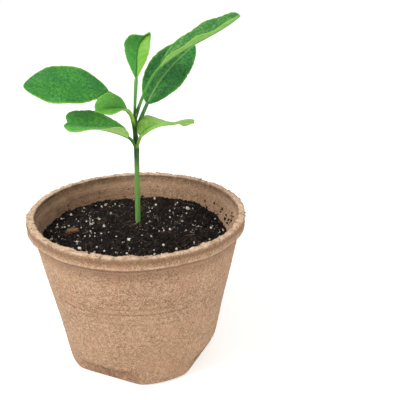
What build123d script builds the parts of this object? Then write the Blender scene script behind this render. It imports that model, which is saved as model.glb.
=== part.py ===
from build123d import *
from math import cos, exp, pi, radians, sin, sqrt
import os

# A citrus seedling growing in a moulded peat pot, in millimetres with +Z up.
# The origin is on the pot's axis, on the flat underside of its base.
# Its front, with the lower leaves and the wider view of the mix, faces -Y.

# Pot
lip_diameter = 100.0
pot_height = 73.0
base_diameter = 70.0
wall = 2.2
floor_thickness = 2.6
lip_thickness = 3.4
lip_band_depth = 5.0
shoulder_depth = 4.0
shoulder_step = 2.9
inner_lip_depth = 3.5
inner_ledge_depth = 3.0
lip_round = 1.45
lip_round_steps = 2
base_edge_bevel = 1.2

# Four flats round the foot, which stop stacked pots from jamming
flat_count = 4
flat_depth = 3.6
flat_height = 8.0
flat_ledge_rise = 2.2
first_flat_angle = -29.5

# Drain holes in the floor
drain_hole_diameter = 5.0
drain_hole_spacing = 37.0

# Potting mix
soil_below_rim = 12.0
soil_side_gap = 0.2
mound_height = 2.3
mound_spread = 15.0
surface_unevenness = 4.0
# Each swell or dip: place from the axis and spread as shares of the soil's radius, then
# its height as a share of the unevenness
swell_shares = [
    (-0.05, -0.32, 0.15, 0.36),
    (0.29, -0.23, 0.13, -0.30),
    (0.99, 0.15, 0.21, -1.05),
    (-0.62, 0.38, 0.22, 0.16),
    (0.38, 0.62, 0.20, 0.20),
    (-0.55, -0.50, 0.20, -0.14),
    (0.45, -0.62, 0.20, -0.16),
    (-0.10, 0.80, 0.18, -0.10),
]
surface_crumble = 0.4
surface_ring_shares = (0.1, 0.23, 0.36, 0.49, 0.62, 0.75, 0.88, 1.04)
surface_sectors = 26

# Perlite grains, peat crumbs and the bark chip that lie on the mix
grain_size = 2.8
grain_count = 50
grain_lift_share = 0.12
grain_seed = 0.37
crumb_size = 4.2
crumb_count = 24
crumb_lift_share = -0.02
crumb_seed = 0.81
lying_gap = 0.3
# Least and greatest size of a small grain and of a crumb, as shares of the sizes above
small_grain_shares = (0.42, 0.82)
crumb_shares = (0.6, 1.0)
lump_sides = 5
lump_tilt_angle = 40.0
lump_reach_shares = (0.8, 1.1)
# Rings of a lump: reach and height as shares of its half size and its size
lump_ring_shares = [(0.55, -0.32), (1.0, 0.0), (0.5, 0.34)]
# The large grains that can be picked out one by one, as shares of the soil's radius
large_grain_shares = [
    (-0.36, 0.13), (-0.10, -0.27), (-0.63, -0.19), (-0.59, -0.33), (-0.88, 0.22), (-0.84, 0.40),
    (0.38, -0.42), (0.25, -0.33), (-0.47, 0.79), (0.58, 0.57), (0.21, 0.88), (0.34, -0.04),
]
chip_length = 7.5
chip_width = 4.6
chip_thickness = 2.2
chip_taper_angle = 18.0
chip_sink_share = 0.3
# Outline of the chip as shares of its half length and half width
chip_outline_shares = [
    (-1.0, -0.3), (-0.5, -1.0), (0.6, -0.8), (1.0, -0.1), (0.7, 0.9), (-0.3, 1.0), (-0.85, 0.4),
]
chip_place_shares = (-0.69, 0.05)
chip_turn_angle = 8.0
chip_lean_angle = 9.0

# Stem
limb_sides = 10
stem_back = 9.0
stem_right = 0.3
stem_rise = 54.0
stem_diameter = 2.5
# Along the stem: height share, sideways share of the rise, and thickness share
stem_shares = [
    (-0.148, -0.006, 1.00),
    (0.04, -0.003, 1.00),
    (0.43, 0.004, 0.95),
    (0.70, 0.009, 0.98),
    (0.83, 0.004, 0.80),
    (0.93, 0.004, 0.76),
    (1.00, 0.004, 0.80),
]
bud_length = 2.2
bud_diameter = 1.1
# The bud's foot from the stem's top, as shares of its diameter and length, and the way it leans
bud_foot_shares = (0.2, -0.6, -0.3)
bud_lean_shares = (0.25, -0.2, 1.0)
# Along the bud: height share and thickness share
bud_shares = [(0.0, 0.6), (0.25, 1.0), (0.6, 0.75), (1.0, 0.15)]

# Roots
taproot_above_floor = 5.4
taproot_tip_share = 0.16
taproot_bend = 1.6
taproot_steps = 4
root_sides = 5
lateral_root_count = 8
lateral_root_length = 27.0
lateral_root_diameter = 1.1
lateral_root_steps = 3
# How much a side root's thickness falls off, and how far it bends and droops for its length
lateral_root_taper_share = 0.5
lateral_root_bend_share = 0.33
lateral_root_droop_share = 0.33
root_gap = 0.15

# Leaves
leaf_length = 41.0
blade_thickness = 0.35
midrib_diameter = 1.0
midrib_taper_share = 0.5
blade_end_width = 0.9
petiole_diameter = 1.6
petiole_steps = 4
blade_camber_share = 0.08
rim_share = 0.6
blade_middle_share = 0.58
blade_station_shares = (
    0.0, 0.04, 0.1, 0.18, 0.28, 0.38, 0.48, 0.58, 0.66, 0.75, 0.82, 0.88, 0.94, 1.0
)

# Each leaf: where its petiole leaves the stem, as a share of the stem's rise, the foot of its
# blade from the stem's foot (x, y, z) as shares of that rise, its length as a share of the
# longest, its width as a share of its own length, how the petiole swells from end to end as
# shares of its diameter, its bend as a share of its own length, and the two powers that set how
# far along the blade is widest and how full its outline is
leaf_shares = {
    "large_left": (0.963, (-0.194, -0.055, 1.216), 0.903, 0.53, (0.80, 0.80), 0.10, (1.16, 0.61)),
    "small_left": (0.796, (-0.055, -0.093, 1.073), 0.385, 0.86, (1.25, 1.10), 0.22, (1.14, 0.56)),
    "lower_left": (0.713, (-0.058, -0.053, 0.832), 0.731, 0.563, (0.95, 0.80), 0.30, (1.42, 0.34)),
    "top": (1.0, (0.026, -0.005, 1.301), 0.552, 0.565, (0.70, 1.10), 0.50, (1.57, 0.62)),
    "back_right": (0.861, (0.111, 0.057, 1.086), 0.849, 0.515, (1.20, 1.05), 0.40, (1.03, 0.6)),
    "upper_right": (0.972, (0.223, -0.058, 1.417), 0.994, 0.389, (0.90, 0.75), 0.32, (1.33, 0.44)),
    "lower_right": (0.722, (0.048, -0.064, 0.841), 0.678, 0.62, (1.00, 0.85), 0.35, (0.75, 0.52)),
}
# How each blade lies, as (foot, middle, tip) in degrees: heading (0 is +X, 90 is +Y), rise,
# roll about its midrib and fold of its halves
leaf_angles = {
    "large_left": ((194, 182, 180), (20, 5, 0), (50, 45, 36), (7, 8, 7)),
    "small_left": ((212, 206, 219), (29, 4, 4), (25, 38, 25), (27, 39, 11)),
    "lower_left": ((195, 193, 186), (34, 15, 22), (0, 15, 35), (50, 30, 11)),
    "top": ((74, 9, 6), (69, 82, 17), (7, -49, -106), (29, 14, 62)),
    "back_right": ((21, 17, 23), (62, 46, 32), (-68, -59, -54), (6, 10, 0)),
    "upper_right": ((347, 352, 351), (45, 28, 42), (-14, -11, -14), (32, 30, 23)),
    "lower_right": ((347, 385, 313), (64, -4, 22), (-33, 5, -13), (32, 7, 0)),
}
# Where a blade draws in: how far along it, over what share of its length, and how far its left
# and right halves draw in
leaf_pinch_shares = {"top": (0.884, 0.072, 0.67, 0.0), "lower_right": (0.648, 0.12, 0.72, 0.19)}
unpinched = (0.5, 1.0, 0.0, 0.0)

# Derived sizes
lip_radius = lip_diameter / 2
base_radius = base_diameter / 2
band_bottom = pot_height - lip_band_depth
shoulder_bottom = band_bottom - shoulder_depth
wall_top_radius = lip_radius - shoulder_step
wall_slope = (wall_top_radius - base_radius) / shoulder_bottom
soil_level = pot_height - soil_below_rim
soil_radius = base_radius + wall_slope * soil_level - wall - soil_side_gap
stem_foot = Vector(stem_right, stem_back, soil_level)
taproot_length = soil_level + stem_shares[0][0] * stem_rise - floor_thickness - taproot_above_floor
overrun = pot_height
golden_turn = pi * (3 - sqrt(5))


def wall_radius(z):
    """Outside radius of the plain wall at a height."""
    return base_radius + wall_slope * z


def turned(points):
    """Solid turned from an outline of (radius, height) points."""
    return revolve(Plane.XZ * make_face(Polyline(*points, close=True)), Axis.Z)


def lip_quarter(middle, start):
    """Points of a quarter round on the lip, from a start angle, in a few straight steps."""
    height = pot_height - lip_round
    turns = [start + (pi / 2 - start) * k / lip_round_steps for k in range(lip_round_steps + 1)]
    return [(middle + lip_round * cos(turn), height + lip_round * sin(turn)) for turn in turns]


def scatter(k, seed):
    """Uneven number from 0 to 1 that is the same each time for a place in a row."""
    return (sin(12.9898 * (k + 1) + 78.233 * seed) * 43758.5453) % 1


def largest(shape):
    """The main solid of a cut shape, without slivers."""
    return max(shape.solids(), key=lambda solid: solid.volume)


def foot_flats(inset):
    """Blocks outside the four flats, leaning with the wall and moved in by an inset."""
    foot = base_radius - flat_depth - inset
    lean = wall_slope * flat_height
    outside = lip_radius + overrun
    top = flat_height + flat_ledge_rise
    side = Polyline(
        (foot - wall_slope * overrun, -overrun),
        (outside, -overrun),
        (outside, top),
        (foot + lean + flat_depth, top),
        (foot + lean, flat_height),
        close=True,
    )
    block = extrude(Plane.XZ * make_face(side), amount=lip_radius, both=True)
    angles = [first_flat_angle - 90 + 360 / flat_count * k for k in range(flat_count)]
    return [Rot(0, 0, angle) * block for angle in angles]


def pot_outside():
    """The pot as if it were solid."""
    points = [
        (0, 0),
        (base_radius - base_edge_bevel, 0),
        (wall_radius(base_edge_bevel), base_edge_bevel),
        (wall_top_radius, shoulder_bottom),
        (lip_radius, band_bottom),
        *lip_quarter(lip_radius - lip_round, 0),
        (0, pot_height),
    ]
    return turned(points) - foot_flats(0)


def pot_inside(gap):
    """The hollow of the pot, drawn in from its walls by a gap, with a mouth that flares."""
    ledge_top = pot_height - inner_lip_depth
    ledge_bottom = ledge_top - inner_ledge_depth
    inner_lip = lip_radius - lip_thickness - gap
    points = [
        (0, floor_thickness),
        (wall_radius(floor_thickness) - wall - gap, floor_thickness),
        (wall_radius(ledge_bottom) - wall - gap, ledge_bottom),
        (inner_lip, ledge_top),
        *lip_quarter(inner_lip + lip_round, pi),
        (inner_lip + lip_round, pot_height + lip_round),
        (0, pot_height + lip_round),
    ]
    return turned(points) - foot_flats(wall + gap)


def peat_pot():
    """Moulded fibre shell with a thick lip, foot flats and two drain holes."""
    hole = Cylinder(drain_hole_diameter / 2, overrun)
    line = Rot(0, 0, first_flat_angle)
    holes = [line * Pos(0, side * drain_hole_spacing / 2, 0) * hole for side in (-1, 1)]
    return pot_outside() - pot_inside(0) - holes


def soil_height(x, y):
    """Height of the potting mix: a mound round the stem, with swells and dips."""
    from_stem = ((x - stem_right) ** 2 + (y - stem_back) ** 2) / (2 * mound_spread ** 2)
    height = soil_level + mound_height * exp(-from_stem)
    for place_x, place_y, spread, rise in swell_shares:
        span = 2 * (spread * soil_radius) ** 2
        away = ((x - place_x * soil_radius) ** 2 + (y - place_y * soil_radius) ** 2) / span
        height += rise * surface_unevenness * exp(-away)
    return height


def faceted(rings, split=True):
    """Solid with flat facets through closed rings of points, capped at both ends."""
    faces = [Face(Wire.make_polygon(ring)) for ring in (rings[0], rings[-1])]
    for low, high in zip(rings, rings[1:]):
        for k in range(len(low)):
            a, b, c, d = low[k - 1], low[k], high[k], high[k - 1]
            corners = [[a, b, c], [a, c, d]] if split else [[a, b, c, d]]
            faces += [Face(Wire.make_polygon(points)) for points in corners]
    return Solid(Shell(faces))


def soil_block():
    """Everything under the crumbly surface of the potting mix, inside the pot's hollow."""
    rings = []
    for j, share in enumerate(surface_ring_shares):
        ring = []
        for k in range(surface_sectors):
            turn = 2 * pi * (k + j / 2) / surface_sectors
            x, y = (share * soil_radius * f for f in (cos(turn), sin(turn)))
            crumble = surface_crumble * (2 * scatter(k, j + 1) - 1)
            ring.append(Vector(x, y, soil_height(x, y) + crumble))
        rings.append(ring)
    centre = Vector(0, 0, soil_height(0, 0))
    faces = []
    for k in range(surface_sectors):
        faces.append(Face(Wire.make_polygon([centre, rings[0][k - 1], rings[0][k]])))
    for low, high in zip(rings, rings[1:]):
        for k in range(surface_sectors):
            a, b, c, d = low[k - 1], low[k], high[k], high[k - 1]
            faces += [Face(Wire.make_polygon([a, b, d])), Face(Wire.make_polygon([b, c, d]))]
    foot = [Vector(p.X, p.Y, -overrun) for p in rings[-1]]
    for k in range(surface_sectors):
        faces.append(Face(Wire.make_polygon([rings[-1][k - 1], rings[-1][k], foot[k], foot[k - 1]])))
    faces.append(Face(Wire.make_polygon(foot)))
    return pot_inside(soil_side_gap) & Solid(Shell(faces))


def limb(points, directions, radii, sides=limb_sides):
    """Round limb that tapers through the points and has flat ends."""
    rings = []
    for point, direction, radius in zip(points, directions, radii):
        along = direction.normalized()
        side = Vector(0, 1, 0) if abs(along.Y) < cos(pi / 4) else Vector(0, 0, 1)
        across = (side - along * side.dot(along)).normalized()
        square = along.cross(across)
        turns = [2 * pi * k / sides for k in range(sides)]
        rings.append([point + (across * cos(t) + square * sin(t)) * radius for t in turns])
    return faceted(rings)


def directions_along(points):
    """Direction of a smooth path at each of its points."""
    last = len(points) - 1
    return [points[min(k + 1, last)] - points[max(k - 1, 0)] for k in range(last + 1)]


def stem_points():
    """Points up the middle of the stem."""
    return [
        stem_foot + Vector(sway * stem_rise, 0, height * stem_rise)
        for height, sway, _ in stem_shares
    ]


def stem_middle(height_share):
    """Point in the middle of the stem at a share of its rise."""
    for low, high in zip(stem_shares, stem_shares[1:]):
        if height_share <= high[0]:
            break
    part = (height_share - low[0]) / (high[0] - low[0])
    sway = low[1] + (high[1] - low[1]) * part
    return stem_foot + Vector(sway * stem_rise, 0, height_share * stem_rise)


def stem(extra=0):
    """Upright stem, from the crown under the soil to the top node."""
    points = stem_points()
    ways = directions_along(points)
    ways[0] = ways[-1] = Vector(0, 0, 1)
    radii = [share * stem_diameter / 2 + extra for _, _, share in stem_shares]
    return limb(points, ways, radii)


def taproot_points():
    """Points down the middle of the taproot."""
    crown = stem_points()[0]
    points = []
    for k in range(taproot_steps + 1):
        sway = Vector(sin(pi * k / 2), sin(pi * k / 3), 0) * taproot_bend
        points.append(crown + sway - Vector(0, 0, taproot_length * k / taproot_steps))
    return points


def taproot_radius(share):
    """Radius of the taproot at a share of its length."""
    thick = stem_shares[0][2] * stem_diameter / 2
    return thick * (1 - (1 - taproot_tip_share) * sqrt(share))


def taproot(extra=0):
    """Main root, going down from the crown."""
    points = taproot_points()
    ways = directions_along(points)
    ways[0] = Vector(0, 0, -1)
    radii = [taproot_radius(k / (len(points) - 1)) + extra for k in range(len(points))]
    return limb(points, ways, radii, root_sides)


def lateral_roots(extra=0):
    """Side roots that leave the taproot all round and droop."""
    points = taproot_points()
    roots = []
    for k in range(lateral_root_count):
        share = (k + 1) / (lateral_root_count + 2)
        place = share * (len(points) - 1)
        low = int(place)
        start = points[low] + (points[low + 1] - points[low]) * (place - low)
        turn = k * golden_turn
        out = Vector(cos(turn), sin(turn), 0)
        side = Vector(-sin(turn), cos(turn), 0)
        length = lateral_root_length * (1 - share / 2)
        bend, droop = lateral_root_bend_share * length, lateral_root_droop_share * length
        path, radii = [], []
        for t in (j / lateral_root_steps for j in range(lateral_root_steps + 1)):
            down = Vector(0, 0, -droop * t * t)
            path.append(start + out * (length * t) + side * (bend * t * (1 - t)) + down)
            radii.append(lateral_root_diameter / 2 * (1 - lateral_root_taper_share * t) + extra)
        roots.append(limb(path, directions_along(path), radii, root_sides))
    return roots


def smooth(values, t):
    """Value at t of the smooth run through foot, middle and tip values."""
    foot, middle, tip = values
    return foot * (1 - t) * (1 - 2 * t) + 4 * middle * t * (1 - t) + tip * t * (2 * t - 1)


def heading(turn, rise):
    """Unit vector from a heading and a rise in degrees."""
    turn, rise = radians(turn), radians(rise)
    return Vector(cos(turn) * cos(rise), sin(turn) * cos(rise), sin(rise))


def blade_foot(name):
    """Point where a blade meets its petiole."""
    return stem_foot + Vector(*leaf_shares[name][1]) * stem_rise


def blade_path(name, stations):
    """Points down the midrib of a blade at the stations."""
    turns, rises = leaf_angles[name][:2]
    length = leaf_shares[name][2] * leaf_length
    point = blade_foot(name)
    path = [point]
    for start, end in zip(stations, stations[1:]):
        steps = 4
        for k in range(steps):
            t = start + (end - start) * (k + 0.5) / steps
            way = heading(smooth(turns, t), smooth(rises, t))
            point = point + way * (length * (end - start) / steps)
        path.append(point)
    return path


def blade_ring(half_widths, fold, rib):
    """Outline across a blade: two cambered halves, folded up from a rib underneath."""
    fold = radians(fold)
    halves = []
    for side, half_width in zip((-1, 1), half_widths):
        camber = half_width * blade_camber_share
        out = half_width * blade_middle_share
        along = Vector(side * cos(fold), sin(fold))
        up = Vector(-side * sin(fold), cos(fold))
        rim = along * half_width
        halves.append([
            along * out + up * camber,
            rim,
            rim - up * (blade_thickness * rim_share),
            along * out + up * (camber - blade_thickness),
            along * rib - up * blade_thickness,
        ])
    left, right = halves
    return [Vector(0, 0), *right, Vector(0, -blade_thickness - rib), *left[::-1]]


def blade(name):
    """Thin leaf blade faceted along its midrib."""
    turns, rises, rolls, folds = leaf_angles[name]
    crown, fullness = leaf_shares[name][6]
    pinch_place, pinch_reach, *pinches = leaf_pinch_shares.get(name, unpinched)
    width = leaf_shares[name][3] * leaf_shares[name][2] * leaf_length
    rings = []
    for t, point in zip(blade_station_shares, blade_path(name, blade_station_shares)):
        way = heading(smooth(turns, t), smooth(rises, t))
        turn = radians(smooth(turns, t))
        roll = radians(smooth(rolls, t))
        level = Vector(sin(turn), -cos(turn), 0)
        square = level.cross(way)
        across = level * cos(roll) + square * sin(roll)
        up = square * cos(roll) - level * sin(roll)
        half = width / 2 * max(sin(pi * t ** crown), 0) ** fullness
        bell = exp(-((t - pinch_place) / pinch_reach) ** 2)
        halves = [max(half * (1 - pinch * bell), blade_end_width / 2) for pinch in pinches]
        rib = min(midrib_diameter / 2 * (1 - midrib_taper_share * t), min(halves) / 2)
        ring = blade_ring(halves, smooth(folds, t), rib)
        rings.append([point + across * p.X + up * p.Y for p in ring])
    return faceted(rings)


def petiole(name):
    """Leaf stalk that curves out of the stem to the foot of its blade."""
    leave, _, _, _, swell, bend, _ = leaf_shares[name]
    turns, rises = leaf_angles[name][:2]
    start, end = stem_middle(leave), blade_foot(name)
    way = heading(turns[0], rises[0])
    knee = end - way * ((end - start).length * bend)
    stations = [k / petiole_steps for k in range(petiole_steps + 1)]
    points = [start * (1 - t) ** 2 + knee * (2 * t * (1 - t)) + end * t ** 2 for t in stations]
    ways = [(knee - start) * (1 - t) + (end - knee) * t for t in stations]
    radii = [petiole_diameter / 2 * (swell[0] + (swell[1] - swell[0]) * t) for t in stations]
    return limb(points, ways, radii)


def terminal_bud():
    """Closed bud in the fork at the top of the stem."""
    right, back, up = bud_foot_shares
    foot = stem_points()[-1] + Vector(bud_diameter * right, bud_diameter * back, bud_length * up)
    way = Vector(*bud_lean_shares)
    points = [foot + way * (bud_length * height) for height, _ in bud_shares]
    radii = [bud_diameter / 2 * thickness for _, thickness in bud_shares]
    return limb(points, [way] * len(points), radii)


def between(limits, share):
    """Value at a share of the way from the lower limit to the upper one."""
    low, high = limits
    return low + (high - low) * share


def lump(size, seed):
    """Faceted lump: a girdle of uneven corners that narrows above and below."""
    rings = []
    for reach, height in lump_ring_shares:
        ring = []
        for k in range(lump_sides):
            turn = 2 * pi * (k + scatter(k, seed) / 2) / lump_sides
            out = size / 2 * reach * between(lump_reach_shares, scatter(k, seed + 1 / 2))
            ring.append(Vector(out * cos(turn), out * sin(turn), size * height))
        rings.append(ring)
    tilt = Rot(lump_tilt_angle * sin(seed), lump_tilt_angle * cos(seed + 1), 360 * scatter(0, seed))
    return tilt * faceted(rings, split=False)


def clear_places(count, taken, size, seed):
    """Spread places over the soil that keep off the places already taken."""
    places = []
    for k in range(count * 9):
        if len(places) == count:
            break
        reach = (soil_radius - size) * sqrt(scatter(k, seed))
        turn = 2 * pi * scatter(k, seed + 1)
        x, y = reach * cos(turn), reach * sin(turn)
        if all((x - a) ** 2 + (y - b) ** 2 > (size / 2 + c + lying_gap) ** 2 for a, b, c in taken):
            places.append((x, y))
            taken.append((x, y, size / 2))
    return places


def seated(shape, x, y, lift, ground):
    """What shows of a lump set down on the potting mix, lifted or sunk a little."""
    return largest(Pos(x, y, soil_height(x, y) + lift) * shape - ground)


def bark_chip(ground):
    """Splinter of bark lying on the mix."""
    corners = [(chip_length / 2 * a, chip_width / 2 * b) for a, b in chip_outline_shares]
    outline = make_face(Polyline(*corners, close=True))
    chip = extrude(outline, amount=chip_thickness, taper=chip_taper_angle)
    x, y = (share * soil_radius for share in chip_place_shares)
    lift = -chip_sink_share * chip_thickness
    return seated(Rot(chip_lean_angle, 0, chip_turn_angle) * chip, x, y, lift, ground)


def lying_pieces(ground):
    """The bark chip, perlite grains and peat crumbs, each seated clear of the others."""
    chip_x, chip_y = (share * soil_radius for share in chip_place_shares)
    large = [(a * soil_radius, b * soil_radius) for a, b in large_grain_shares]
    taken = [(chip_x, chip_y, chip_length / 2), (stem_right, stem_back, stem_diameter)]
    taken += [(x, y, grain_size / 2) for x, y in large]
    small = clear_places(grain_count - len(large), taken, grain_size, grain_seed)
    grains, crumbs = [], []
    for k, (x, y) in enumerate(large + small):
        share = 1 if k < len(large) else between(small_grain_shares, scatter(k, grain_seed))
        size = grain_size * share
        grains.append(seated(lump(size, k), x, y, grain_lift_share * size, ground))
    for k, (x, y) in enumerate(clear_places(crumb_count, taken, crumb_size, crumb_seed)):
        size = crumb_size * between(crumb_shares, scatter(k, crumb_seed))
        seed = grain_count + k
        crumbs.append(seated(lump(size, seed), x, y, crumb_lift_share * size, ground))
    return bark_chip(ground), Compound(grains), Compound(crumbs)


def build():
    """All the pieces by node name."""
    pieces = {"peat_pot": peat_pot()}
    ground = soil_block()

    pieces["stem"] = stem()
    pieces["taproot"] = taproot()
    side_roots = [largest(root - pieces["taproot"]) for root in lateral_roots()]
    pieces["lateral_roots"] = Compound(side_roots)

    chip, grains, crumbs = lying_pieces(ground)
    pieces["bark_chip"] = chip
    pieces["perlite_grains"] = grains
    pieces["mix_crumbs"] = crumbs
    ground = ground - stem(root_gap) - taproot(root_gap) - lateral_roots(root_gap)
    pieces["potting_mix"] = largest(ground)

    made = [pieces["stem"]]
    for name in ("top", "upper_right", "large_left", "small_left", "back_right",
                 "lower_left", "lower_right"):
        stalk = largest(petiole(name) - made)
        pieces["petiole_" + name] = stalk
        made.append(stalk)
        pieces["leaf_" + name] = blade(name)
    pieces["terminal_bud"] = largest(terminal_bud() - made)
    return pieces


if __name__ == "__main__":
    os.makedirs("parts", exist_ok=True)
    for name, piece in build().items():
        export_step(piece, os.path.join("parts", name + ".step"))
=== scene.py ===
"""Looks of a citrus seedling in a moulded peat pot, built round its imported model, in metres."""

from math import atan2, cos, exp, log, pi, radians, sin, sqrt
from random import Random
import bmesh
import bpy
from bpy.props import (
    CollectionProperty,
    FloatProperty,
    FloatVectorProperty,
    IntProperty,
    PointerProperty,
)
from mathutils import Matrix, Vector, noise
from mathutils.bvhtree import BVHTree


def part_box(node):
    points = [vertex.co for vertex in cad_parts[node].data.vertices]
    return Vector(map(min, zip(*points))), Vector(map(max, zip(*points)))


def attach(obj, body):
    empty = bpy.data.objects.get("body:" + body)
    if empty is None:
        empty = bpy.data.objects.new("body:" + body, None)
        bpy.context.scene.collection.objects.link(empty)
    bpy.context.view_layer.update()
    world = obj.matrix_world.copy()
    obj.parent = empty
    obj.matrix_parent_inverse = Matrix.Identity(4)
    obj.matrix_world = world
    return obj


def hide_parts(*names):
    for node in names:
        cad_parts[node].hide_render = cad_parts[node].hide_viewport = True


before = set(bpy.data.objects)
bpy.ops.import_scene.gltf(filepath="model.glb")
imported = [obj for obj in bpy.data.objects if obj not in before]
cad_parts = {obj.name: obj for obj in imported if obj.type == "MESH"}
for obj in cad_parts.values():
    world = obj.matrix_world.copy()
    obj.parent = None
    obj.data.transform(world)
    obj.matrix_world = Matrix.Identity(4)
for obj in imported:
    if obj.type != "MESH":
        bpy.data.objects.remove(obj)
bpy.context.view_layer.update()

bl_info = {
    "name": "Planted Peat Pot",
    "version": (1, 0, 0),
    "blender": (4, 5, 0),
    "location": "View3D > Sidebar > Peat Pot",
    "description": "Builds a moulded peat pot with its mix and citrus seedling",
    "category": "Add Mesh",
}

MM = 0.001
# Radius that the pot's outer wall gains with each metre of height
WALL_SLOPE = 0.18906
# A level above the whole plant, from which rays look down on the mix
OVERHEAD = 0.12
# The mix meets the wall at about this height
MIX_LEVEL = 60 * MM
# Seeds of the random draws, by what they scatter
SEEDS = {"lip_fibres": 7, "tufts": 13, "crumbs": 11, "grains": 23, "peat_fibres": 31}


def paint(red, green, blue):
    """A colour from its usual 0 to 255 values, as the shaders want it."""
    def linear(value):
        share = value / 255
        return share / 12.92 if share <= 0.04045 else ((share + 0.055) / 1.055) ** 2.4
    return linear(red), linear(green), linear(blue)


def length(name, text, millimetres):
    """A length property that is written in millimetres and held in metres."""
    return FloatProperty(name=name, description=text, default=millimetres * MM,
                         min=0, subtype="DISTANCE", unit="LENGTH", precision=5)


def tone(name, text, red, green, blue):
    """A colour property written in its usual 0 to 255 values."""
    return FloatVectorProperty(name=name, description=text, default=paint(red, green, blue),
                               size=3, min=0, max=1, subtype="COLOR")


def amount(name, text, default):
    """A plain number property."""
    return FloatProperty(name=name, description=text, default=default)


def whole(name, text, default):
    """A whole-number property."""
    return IntProperty(name=name, description=text, default=default)


def watts(name, text, default):
    """The power of a lamp."""
    return FloatProperty(name=name, description=text, default=default, unit="POWER")


def angles(name):
    """Three angles in degrees that a blade goes through."""
    return FloatVectorProperty(name=name, description="Foot, middle and tip, in degrees", size=3)


def stage_point(name, text, default):
    """A place on the stage."""
    return FloatVectorProperty(name=name, description=text, default=default, size=3,
                               subtype="TRANSLATION", unit="LENGTH")


def clamp(value):
    """A number held between 0 and 1."""
    return max(0.0, min(1.0, value))


def bell(distance, width):
    """1 at no distance, fading to 0 over this width on both sides."""
    return exp(-(distance / width) ** 2)


class PotSettings(bpy.types.PropertyGroup):
    """Shape and finish of the pressed peat-fibre pot."""
    sectors: whole("Sectors", "Steps round the pot", 440)
    grain: length("Mesh grain", "Length of the small faces that hold the relief", 0.64)
    coarse: length("Hidden grain", "Length of the faces that the mix or the floor hides", 3.0)
    base_radius: length("Base radius", "Outer radius of the wall at the underside", 35.0)
    wall: length("Wall", "Thickness of the wall", 2.2)
    bottom: length("Floor", "Thickness of the pot's floor", 2.6)
    bevel: length("Base bevel", "Bevel round the underside", 1.2)
    shoulder: length("Shoulder", "Height at which the wall turns out to the lip", 64.0)
    lip_radius: length("Lip radius", "Outer radius of the lip", 50.0)
    lip_thickness: length("Lip thickness", "Width of the lip's top", 3.4)
    lip_foot: length("Lip foot", "Height of the ridge under the lip", 68.0)
    lip_round: length("Lip round", "Rounding of the lip's top", 1.0)
    rim: length("Rim", "Height of the rim", 73.0)
    ledge_top: length("Ledge top", "Height where the inner ledge meets the lip", 69.5)
    ledge_foot: length("Ledge foot", "Height where the inner ledge meets the wall", 66.5)
    seen_inside: length("Seen inside", "Height above which the inner wall shows", 54.0)
    flat_distance: length("Flat distance", "From the axis to a foot flat at the underside", 31.4)
    flat_height: length("Flat height", "Height of the foot flats", 8.0)
    flat_ledge: length("Flat ledge", "Rise of the ledge over a foot flat", 2.2)
    flat_depth: length("Flat depth", "Reach of the ledge over a foot flat", 3.6)
    flat_blend: length("Flat blend", "Softness of the flats' edges", 0.45)
    flat_angle: FloatProperty(name="Flat angle", description="Angle of the first foot flat",
                              default=radians(-119.5), subtype="ANGLE", unit="ROTATION")
    hole: length("Drain hole", "Diameter of a drain hole", 5.0)
    hole_spacing: length("Hole spacing", "Between the drain holes' middles", 37.0)
    pulp_relief: length("Pulp relief", "Height of the pulp's bumps", 0.16)
    warp: length("Warp", "How far the pressed wall is out of true", 0.5)
    lip_relief: length("Lip relief", "Height of the torn bumps on the lip", 0.8)
    ring_depth: length("Ring depth", "Depth of the mould's rings", 0.16)
    ring_pitch: length("Ring pitch", "Between the mould's rings", 2.85)
    fibre_count: whole("Fibres", "Loose fibres on lip and wall", 420)
    tuft_count: whole("Tufts", "Small tufts of pulp on the lip", 110)
    # The light and dark pulp tones also paint the highlight and shade round the ridge under the
    # lip, and the dark one the shade in the mould's rings
    light: tone("Pulp, light", "Pale fibres", 224, 190, 158)
    middle: tone("Pulp", "Main tone of the dry pulp", 186, 147, 117)
    dark: tone("Pulp, dark", "Bark and peat bits in the pulp", 116, 82, 56)
    # The damp tone is also the painted shade of the inner wall on the side away from the light
    damp: tone("Pulp, damp", "Inside of the wall, stained by the mix", 128, 98, 76)


class MixSettings(bpy.types.PropertyGroup):
    """Surface of the potting mix and what lies on it."""
    sectors: whole("Sectors", "Steps round the mix", 480)
    rings: whole("Rings", "Steps from the middle to the wall", 92)
    clod_height: length("Clod height", "Relief of the coarse clods", 1.5)
    clod_size: length("Clod size", "Width of the coarse clods", 4.6)
    crumb_height: length("Crumb height", "Relief of the crumbs", 1.35)
    crumb_size: length("Crumb size", "Width of the crumbs", 1.9)
    crumb_count: whole("Crumbs", "Loose crumbs on the mix", 760)
    speck_count: whole("Specks", "Small perlite specks", 900)
    smear_count: whole("Smears", "Bits of mix stuck to the wall", 70)
    fibre_count: whole("Fibres", "Peat fibres on the mix", 200)
    dark: tone("Mix, dark", "Wet peat", 12, 9, 8)
    middle: tone("Mix", "Main tone of the peat", 54, 42, 36)
    red: tone("Mix, reddish", "Bark dust in the peat", 96, 68, 54)
    straw: tone("Peat fibre", "Pale fibres in the peat", 124, 108, 88)
    perlite: tone("Perlite", "Expanded grains", 240, 236, 224)
    bark: tone("Bark", "Splinter of bark", 138, 98, 70)


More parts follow.
